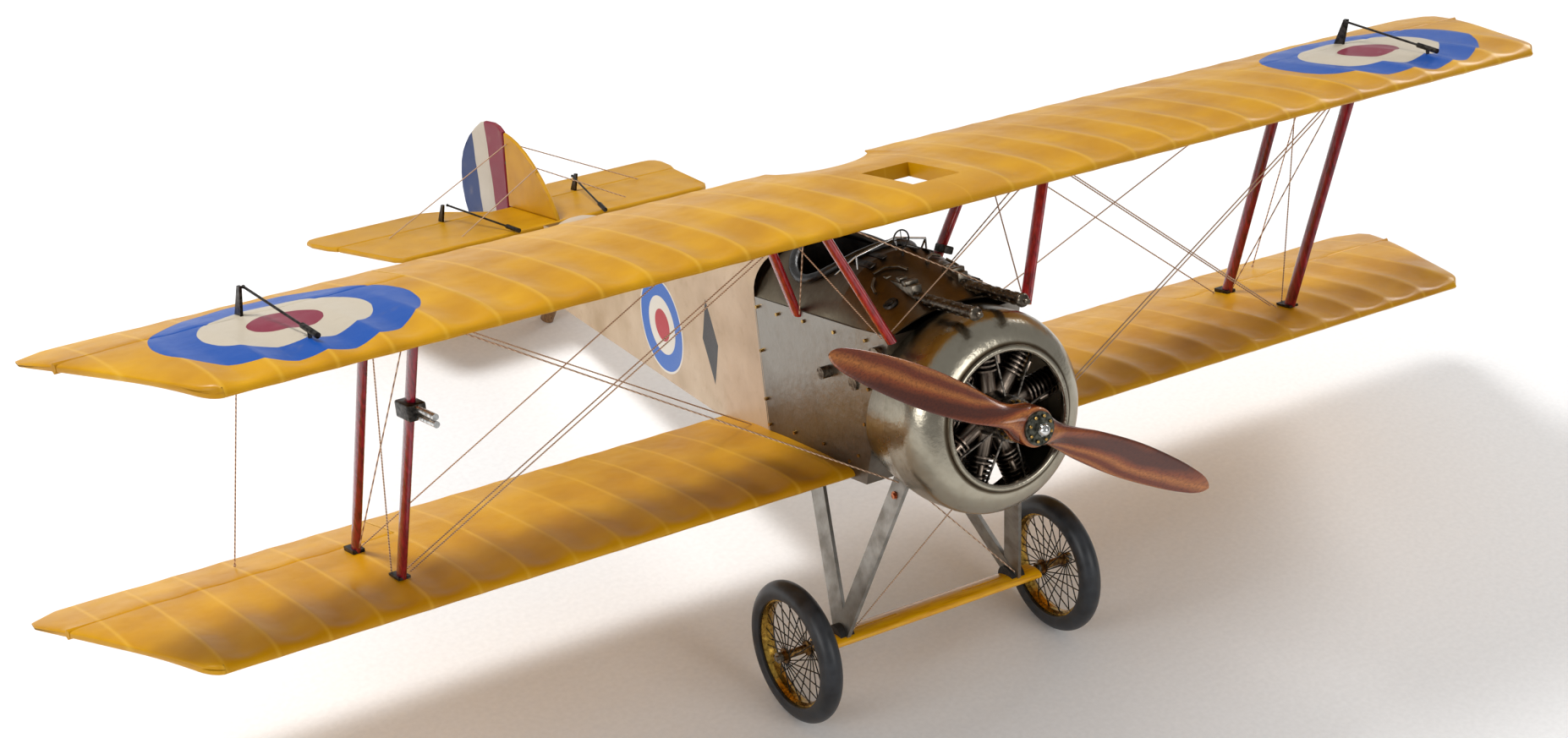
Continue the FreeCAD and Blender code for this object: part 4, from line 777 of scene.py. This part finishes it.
bmesh.ops.create_cone(boss, cap_ends=True, segments=48, radius1=14.2, radius2=14.2, depth=21.6,
                      matrix=Matrix.Translation((0, hub_y - 0.1, thrust_z))
                      @ Matrix.Rotation(math.radians(90), 4, "X"))
rims = [e for e in boss.edges if e.calc_face_angle(0.0) > 1.0]
bmesh.ops.bevel(boss, geom=rims, offset=3.2, segments=5, profile=0.5, affect="EDGES", material=-1)
fit("airscrew_boss", boss, "propeller_body", mahogany)
carry(["hub_plate"], plain_metal("bronzed_steel", "#6A6A60", "#23261F", 0.3))
chrome = plain_metal("polished_steel", "#E2E2E0", "#A8A8A6", 0.08, 1 / 9, 0.00002)
carry(["prop_shaft"], chrome)
plate_bolts = bmesh.new()
for i in range(8):
    angle = math.radians(45 * i + 22.5)
    bmesh.ops.create_uvsphere(plate_bolts, u_segments=12, v_segments=8, radius=1.25,
                              matrix=Matrix.Translation((9 * math.cos(angle), -55.9,
                                                         thrust_z + 9 * math.sin(angle))))
fit("plate_bolt_heads", plate_bolts, "propeller_body", brass)

# --------------------------------------------------------------------------------------
# Machine guns: two perforated cooling jackets of dark gunmetal with flared muzzle rings,
# lying in the deck; behind them are feed fittings and slots in the sheet, drawn as near-black
# plates that stand for the shade in the openings.
# --------------------------------------------------------------------------------------
gun_x, gun_z, jacket = 20.0, -72.0, 4.3
muzzle = ((-27.0, 0.2), (-27.0, 1.7), (-25.6, 2.3), (-24.4, 1.7), (-23.2, 1.9), (-22.4, 3.4),
          (-21.4, 4.6), (-19.8, 5.2), (-18.4, 4.9), (-17.8, 4.3))

gunmetal = finish_of("gunmetal_rubbed_and_edge_highlit", {"Metallic": 1.0, "Roughness": 0.3})
place = rigging_place(gunmetal)
rub = add(gunmetal, "TexNoise", "Fac", {"Vector": place, "Scale": 1 / 3, "Detail": 5.0})
# paler edges found by pointiness: partly rubbed metal, partly a painted highlight on the
# perforations and breech blocks
rubbed_edge_highlight = add(gunmetal, "MapRange", 0, {0: add(gunmetal, "NewGeometry", "Pointiness"), 1: 0.52,
                                     2: 0.64, 3: 0.0, 4: 0.3})
metal = add(gunmetal, "ValToRGB", "Color", {"Fac": rub}, ((0.35, "#3B352E"), (0.65, "#6B6256")))
coat(gunmetal, {"Base Color": add(gunmetal, "Mix", 2, {0: rubbed_edge_highlight, 6: metal, 7: "#CFC6B4"},
                                  data_type="RGBA"),
                "Normal": add(gunmetal, "Bump", "Normal", {"Height": rub, "Distance": 0.0001})})

for side, label in ((1, "left"), (-1, "right")):
    gun = bmesh.new()
    profile = list(muzzle) + [(-16.0 + 2.75 * k, jacket) for k in range(35)]
    line = [gun.verts.new((0, y, r)) for y, r in profile]
    edges = [gun.edges.new(pair) for pair in zip(line, line[1:])]
    bmesh.ops.spin(gun, geom=line + edges, cent=(0, 0, 0), axis=(0, 1, 0), angle=2 * math.pi,
                   steps=20, use_merge=True)
    slots = []
    for panel in gun.faces:
        mid = panel.calc_center_median()
        ring = math.floor((mid.y + 16.0) / 2.75)
        lane = math.floor((math.atan2(mid.z, mid.x) + 2 * math.pi) / (math.pi / 10))
        if mid.y > -15 and lane % 2 == 0 and (ring + lane) % 4 in (0,):
            slots.append(panel)
    bmesh.ops.inset_individual(gun, faces=slots, thickness=0.35, depth=-0.5)
    bmesh.ops.remove_doubles(gun, verts=gun.verts, dist=0.01)
    bmesh.ops.holes_fill(gun, edges=[e for e in gun.edges if e.is_boundary], sides=0)
    breech = bmesh.ops.create_cube(gun, size=1.0, matrix=Matrix.Translation((0, 70, 2.6))
                                   @ Matrix.Diagonal((9, 44, 13, 1)))
    rims = list({e for v in breech["verts"] for e in v.link_edges})
    bmesh.ops.bevel(gun, geom=rims, offset=1.0, segments=2, profile=0.5, affect="EDGES",
                    material=-1)
    for y, width, tall in ((56, 11.5, 4.0), (66, 7.0, 5.2), (80, 10.5, 3.4)):
        block = bmesh.ops.create_cube(gun, size=1.0, matrix=Matrix.Translation((0, y, 9.6))
                                      @ Matrix.Diagonal((width, 5.0, tall, 1)))
        rims = list({e for v in block["verts"] for e in v.link_edges})
        bmesh.ops.bevel(gun, geom=rims, offset=0.8, segments=2, profile=0.5, affect="EDGES",
                        material=-1)
    bmesh.ops.translate(gun, verts=gun.verts, vec=(gun_x * side, 0, gun_z))
    fit("gun_" + label, gun, "airframe", gunmetal,
        ["machine_guns"] if label == "left" else ())


def deck_point(x, y, lift=0.0):
    """A point on the forward deck's skin."""
    stations = ((18, 52, 10), (60, 57.5, 25), (100, 57, 39), (210, 57, 35))
    half = through([(s[0], s[1]) for s in stations], min(max(y, 18), 209.9))
    rise = through([(s[0], s[2]) for s in stations], min(max(y, 18), 209.9))
    bend = (half ** 2 + rise ** 2) / (2 * rise)
    return Vector((x, y, longeron_z + rise - bend + math.sqrt(bend ** 2 - x ** 2) + lift))


def shell_tube(points, radius, sides=10):
    """A round bar through a line of points, with closed ends."""
    tube = bmesh.new()
    rings = []
    for index, point in enumerate(points):
        before, after = points[max(index - 1, 0)], points[min(index + 1, len(points) - 1)]
        heading = (Vector(after) - Vector(before)).to_track_quat("Z", "Y").to_matrix().to_4x4()
        made = bmesh.ops.create_circle(tube, segments=sides, radius=radius, cap_ends=False,
                                       matrix=Matrix.Translation(point) @ heading)
        rings.append(made["verts"])
    for near, far in zip(rings, rings[1:]):
        loops = [e for e in tube.edges if all(v in near for v in e.verts)]
        loops += [e for e in tube.edges if all(v in far for v in e.verts)]
        bmesh.ops.bridge_loops(tube, edges=loops)
    bmesh.ops.holes_fill(tube, edges=[e for e in tube.edges if e.is_boundary], sides=0)
    return tube


# feed fittings, slots, cap and beads of the deck, each seated on the curved sheet
fittings, slots = bmesh.new(), bmesh.new()
for side in (-1, 1):
    for y, x, width, length in ((104, 25, 6, 22), (104, 14, 5, 20)):
        spot = deck_point(side * x, y, -0.15)
        slope = math.atan2(deck_point(x + 1, y).z - deck_point(x - 1, y).z, 2) * side
        turn = Matrix.Translation(spot) @ Matrix.Rotation(-slope, 4, "Y")
        # each slot is a thin near-black plate laid on the sheet: painted shade standing for the
        # opening
        block = bmesh.ops.create_cube(slots, size=1.0, matrix=turn
                                      @ Matrix.Diagonal((width, length, 1.2, 1)))
        rims = list({e for v in block["verts"] for e in v.link_edges})
        bmesh.ops.bevel(slots, geom=rims, offset=0.5, segments=2, profile=0.5, affect="EDGES",
                        material=-1)
    for points in (((9, 74), (12, 80), (20, 86), (29, 88)), ((31, 84), (36, 80), (38, 74))):
        tube = shell_tube([deck_point(side * x, y, 0.6) for x, y in points], 1.1, 10)
        absorb(fittings, tube)
fit("deck_slot_shade_plates", slots, "airframe", dark_steel)
fit("feed_fittings", fittings, "airframe", gunmetal)
caps = bmesh.new()
for x, y, radius in ((-37, 58, 6.0), (37, 58, 6.0)):
    low = deck_point(x - 1, y)
    high = deck_point(x + 1, y)
    normal = Vector((low.z - high.z, 0, 2)).normalized()
    turn = normal.to_track_quat("Z", "Y").to_matrix().to_4x4()
    for wide, tall in ((radius, 1.6), (radius * 0.62, 3.0)):
        bmesh.ops.create_cone(caps, cap_ends=True, segments=32, radius1=wide, radius2=wide * 0.86,
                              depth=tall, matrix=Matrix.Translation(deck_point(x, y)) @ turn)
fit("deck_caps", caps, "airframe", dark_steel)

# ring sight and wind rail keep their exact wires
carry(["ring_sight"], dark_steel)
carry(["windscreen_rail"], chrome)

# --------------------------------------------------------------------------------------
# Cockpit edge: a roll of black leather stuffed with horsehair, laced round the opening,
# so that it puckers into small folds; the well inside is closed by a near-black sheet, painted
# shade for the dark inside of the cockpit.
# --------------------------------------------------------------------------------------
cockpit_y, rim_half, rim_length, roll_radius = 158.0, 45.0, 42.0, 3.6

leather = finish_of("glazed_black_leather", {"Roughness": 0.34, "Coat Weight": 0.15,
                                             "Coat Roughness": 0.12})
place = rigging_place(leather)
folds = add(leather, "TexNoise", "Fac", {"Vector": place, "Scale": 1 / 7, "Detail": 4.0})
pebble = add(leather, "TexVoronoi", "Distance", {"Vector": place, "Scale": 1 / 0.9})
hide = add(leather, "ValToRGB", "Color", {"Fac": folds}, ((0.35, "#0A0909"), (0.7, "#1E1C1A")))
pits = add(leather, "Bump", "Normal", {"Height": pebble, "Distance": 0.00008})
coat(leather, {"Base Color": hide, "Normal": add(leather, "Bump", "Normal", {
    "Height": folds, "Distance": 0.0004, "Normal": pits})})

roll = bmesh.new()
bmesh.ops.create_grid(roll, x_segments=220, y_segments=18, size=0.5)
for vert in roll.verts:
    angle, turn = 2 * math.pi * (vert.co.x + 0.5), 2 * math.pi * (vert.co.y + 0.5)
    x, y = rim_half * math.cos(angle), cockpit_y + rim_length * math.sin(angle)
    centre = deck_point(x, y)
    outward = Vector((math.cos(angle), math.sin(angle), 0))
    lacing = 0.015 * math.sin(angle * 31 + 3 * math.sin(angle * 5))
    pucker = 1 + lacing + 0.05 * noise.noise(centre * 0.11)
    radius = roll_radius * pucker
    vert.co = centre + outward * (radius * math.cos(turn)) + Vector((0, 0, radius * math.sin(turn)))
made = fit("cockpit_roll", roll, "airframe", leather, ["cockpit_coaming"], 80)
# a near-black sheet round the well and across its floor: painted shade standing for the dark inside
# of the cockpit
shade_well = bmesh.new()
bmesh.ops.create_grid(shade_well, x_segments=64, y_segments=10, size=0.5)
for vert in shade_well.verts:
    angle, deep = 2 * math.pi * (vert.co.x + 0.5), vert.co.y + 0.5
    x, y = (rim_half - 1.2) * math.cos(angle), cockpit_y + (rim_length - 1.2) * math.sin(angle)
    top = deck_point(x, y).z - 1
    vert.co = (x, y, top + (-179.0 - top) * deep)
bmesh.ops.holes_fill(shade_well, edges=[e for e in shade_well.edges if e.is_boundary
                                    and e.verts[0].co.z < -170], sides=0)
fit("cockpit_shade_well", shade_well, "airframe", leather, sharp=50)

# --------------------------------------------------------------------------------------
# Struts: turned flat sections of wood lacquered deep red over a dark ground, so that the
# edges rub through; held top and foot by small blackened fittings.
# --------------------------------------------------------------------------------------
lacquer = finish_of("red_lacquered_wood", {"Roughness": 0.24, "Coat Weight": 0.4,
                                           "Coat Roughness": 0.1})
place = rigging_place(lacquer, (1, 1, 0.12))
figure = add(lacquer, "TexNoise", "Fac", {"Vector": place, "Scale": 1 / 2.5, "Detail": 5.0})
coat(lacquer, {"Base Color": add(lacquer, "ValToRGB", "Color", {"Fac": figure},
                                 ((0.3, "#4E0A18"), (0.5, "#7A1022"), (0.72, "#96182A"))),
               "Normal": add(lacquer, "Bump", "Normal", {"Height": figure, "Distance": 0.00012})})
carry(["interplane_struts"], lacquer)
bright_lacquer = finish_of("scarlet_lacquered_wood", {"Roughness": 0.22, "Coat Weight": 0.5,
                                                      "Coat Roughness": 0.08})
place = rigging_place(bright_lacquer, (1, 1, 0.12))
figure = add(bright_lacquer, "TexNoise", "Fac", {"Vector": place, "Scale": 1 / 2.5, "Detail": 5.0})
coat(bright_lacquer, {
    "Base Color": add(bright_lacquer, "ValToRGB", "Color", {"Fac": figure},
                      ((0.3, "#6E0F1C"), (0.52, "#9C1A22"), (0.75, "#B62A28"))),
    "Normal": add(bright_lacquer, "Bump", "Normal", {"Height": figure, "Distance": 0.00012})})
carry(["cabane_struts"], bright_lacquer)
carry(["wing_fittings", "surface_hinges"], dark_steel)
cabane_clamp_at, cabane_clamp_size, cabane_lean = (66.4, 137.2, -70.0), (9.0, 13.0, 6.0, 1), 0.42
clamp = bmesh.new()
bmesh.ops.create_cube(clamp, size=1.0, matrix=Matrix.Translation(cabane_clamp_at)
                      @ Matrix.Rotation(cabane_lean, 4, "Y") @ Matrix.Diagonal(cabane_clamp_size))
bmesh.ops.bevel(clamp, geom=clamp.edges[:], offset=1.2, segments=3, profile=0.5, affect="EDGES",
                material=-1)
fit("rear_cabane_clamp", clamp, "airframe", dark_steel)
carry(["airspeed_tube"], plain_metal("dull_nickel", "#D8D8D6", "#8A8A88", 0.2))
# the airspeed tube's black clamp, a little larger than the nickel block that it covers
tube_clamp_at, tube_clamp_size = (-396.0, 73.6, -61.0), (13.0, 21.2, 11.4, 1)
pod = bmesh.new()
bmesh.ops.create_cube(pod, size=1.0, matrix=Matrix.Translation(tube_clamp_at)
                      @ Matrix.Diagonal(tube_clamp_size))
bmesh.ops.bevel(pod, geom=pod.edges[:], offset=1.4, segments=3, profile=0.5, affect="EDGES",
                material=-1)
fit("airspeed_clamp", pod, "airframe", dark_steel)

# --------------------------------------------------------------------------------------
# Control gear: black horns and rods, and twisted thread
# for the aileron links and all the bracing.
# --------------------------------------------------------------------------------------
carry(["aileron_horn_left", "aileron_horn_right", "elevator_horns", "aileron_rod_left",
       "aileron_rod_right", "elevator_rod_left", "elevator_rod_right"], dark_steel)
thread = finish_of("waxed_linen_thread", {"Roughness": 0.6})
place = rigging_place(thread, (1.0, 1.0, 1.0))
lay = add(thread, "TexWave", "Fac", {"Vector": place, "Scale": 0.35, "Distortion": 1.5,
                                     "Detail": 2.0}, bands_direction="DIAGONAL")
coat(thread, {"Base Color": add(thread, "ValToRGB", "Color", {"Fac": lay},
                                ((0.2, "#8A6248"), (0.8, "#DDBEA0"))),
              "Normal": add(thread, "Bump", "Normal", {"Height": lay, "Distance": 0.0002})})
carry(["wing_wires", "cabane_wires", "tail_brace_wires", "undercarriage_wires",
       "aileron_link_left", "aileron_link_right"], thread)

# --------------------------------------------------------------------------------------
# Undercarriage: flat steel legs in two Vs with copper bolts, a yellow spreader bar with two
# slots for the axle, bound to it with black elastic cord; and the ash tail skid.
# --------------------------------------------------------------------------------------
carry(["undercarriage_legs"], plain_metal("brushed_steel_strap", "#A09D97", "#86827B", 0.36,
                                          1 / 12, 0.0002))
carry(["axle"], plain_metal("plain_steel_rod", "#9A948A", "#544E46", 0.3))
cord = finish_of("woven_black_elastic", {"Roughness": 0.7})
lay = add(cord, "TexWave", "Fac", {"Vector": rigging_place(cord), "Scale": 0.5, "Distortion": 2.0})
coat(cord, {"Base Color": add(cord, "ValToRGB", "Color", {"Fac": lay}, ((0.2, "#141210"),
                                                                        (0.8, "#2E2A27"))),
            "Normal": add(cord, "Bump", "Normal", {"Height": lay, "Distance": 0.0004})})
carry(["shock_cords"], cord)
enamel = finish_of("yellow_painted_wood", {"Roughness": 0.3, "Coat Weight": 0.3,
                                           "Coat Roughness": 0.12})
place = rigging_place(enamel, (0.1, 1, 1))
brushed = add(enamel, "TexNoise", "Fac", {"Vector": place, "Scale": 1 / 2, "Detail": 5.0})
coat(enamel, {"Base Color": add(enamel, "ValToRGB", "Color", {"Fac": brushed},
                                ((0.3, "#D28E00"), (0.5, "#EBA900"), (0.75, "#F2B808"))),
              "Normal": add(enamel, "Bump", "Normal", {"Height": brushed, "Distance": 0.0001})})
carry(["spreader_bar"], enamel)
ash = finish_of("oiled_ash", {"Roughness": 0.45})
place = rigging_place(ash, (1, 1, 0.1))
rings = add(ash, "TexNoise", "Fac", {"Vector": place, "Scale": 1 / 1.5, "Detail": 5.0})
coat(ash, {"Base Color": add(ash, "ValToRGB", "Color", {"Fac": rings}, ((0.3, "#5A3B22"),
                                                                        (0.7, "#9C7448"))),
           "Normal": add(ash, "Bump", "Normal", {"Height": rings, "Distance": 0.0001})})
carry(["tail_skid"], ash)
copper = plain_metal("copper", "#C77B52", "#7A3F26", 0.25)
leg_bolts = bmesh.new()
bolt_x, bolt_y, bolt_z = 51.5, 53.0, -211.0
for side in (-1, 1):
    for wide, tall in ((3.4, 4.0), (2.0, 6.4)):
        bmesh.ops.create_cone(leg_bolts, cap_ends=True, segments=20, radius1=wide,
                              radius2=wide * 0.9, depth=tall,
                              matrix=Matrix.Translation((side * bolt_x, bolt_y, bolt_z))
                              @ Matrix.Rotation(math.radians(90), 4, "Y"))
fit("leg_bolts", leg_bolts, "airframe", copper)

# --------------------------------------------------------------------------------------
# Wheels: bronze hubs, thin dark spokes laced in crossing pairs, brass rims and round black
# rubber tyres with a faint moulding line.
# --------------------------------------------------------------------------------------
rubber = finish_of("vulcanised_rubber", {"Roughness": 0.42})
place = rigging_place(rubber)
bloom = add(rubber, "TexNoise", "Fac", {"Vector": place, "Scale": 1 / 10, "Detail": 6.0})
coat(rubber, {"Base Color": add(rubber, "ValToRGB", "Color", {"Fac": bloom},
                                ((0.35, "#17191D"), (0.7, "#2B2E33"))),
              "Roughness": add(rubber, "MapRange", 0, {0: bloom, 3: 0.3, 4: 0.55}),
              "Normal": add(rubber, "Bump", "Normal", {"Height": bloom, "Distance": 0.0002})})
rim_brass = plain_metal("polished_brass_rim", "#C9A24A", "#86652C", 0.2)
hub_bronze = plain_metal("turned_bronze", "#94703F", "#4C3520", 0.28)
for side in ("left", "right"):
    carry(["tyre_" + side], rubber)
    carry(["rim_" + side], rim_brass)
    carry(["hub_" + side], hub_bronze)
    carry(["spokes_" + side], dark_steel)
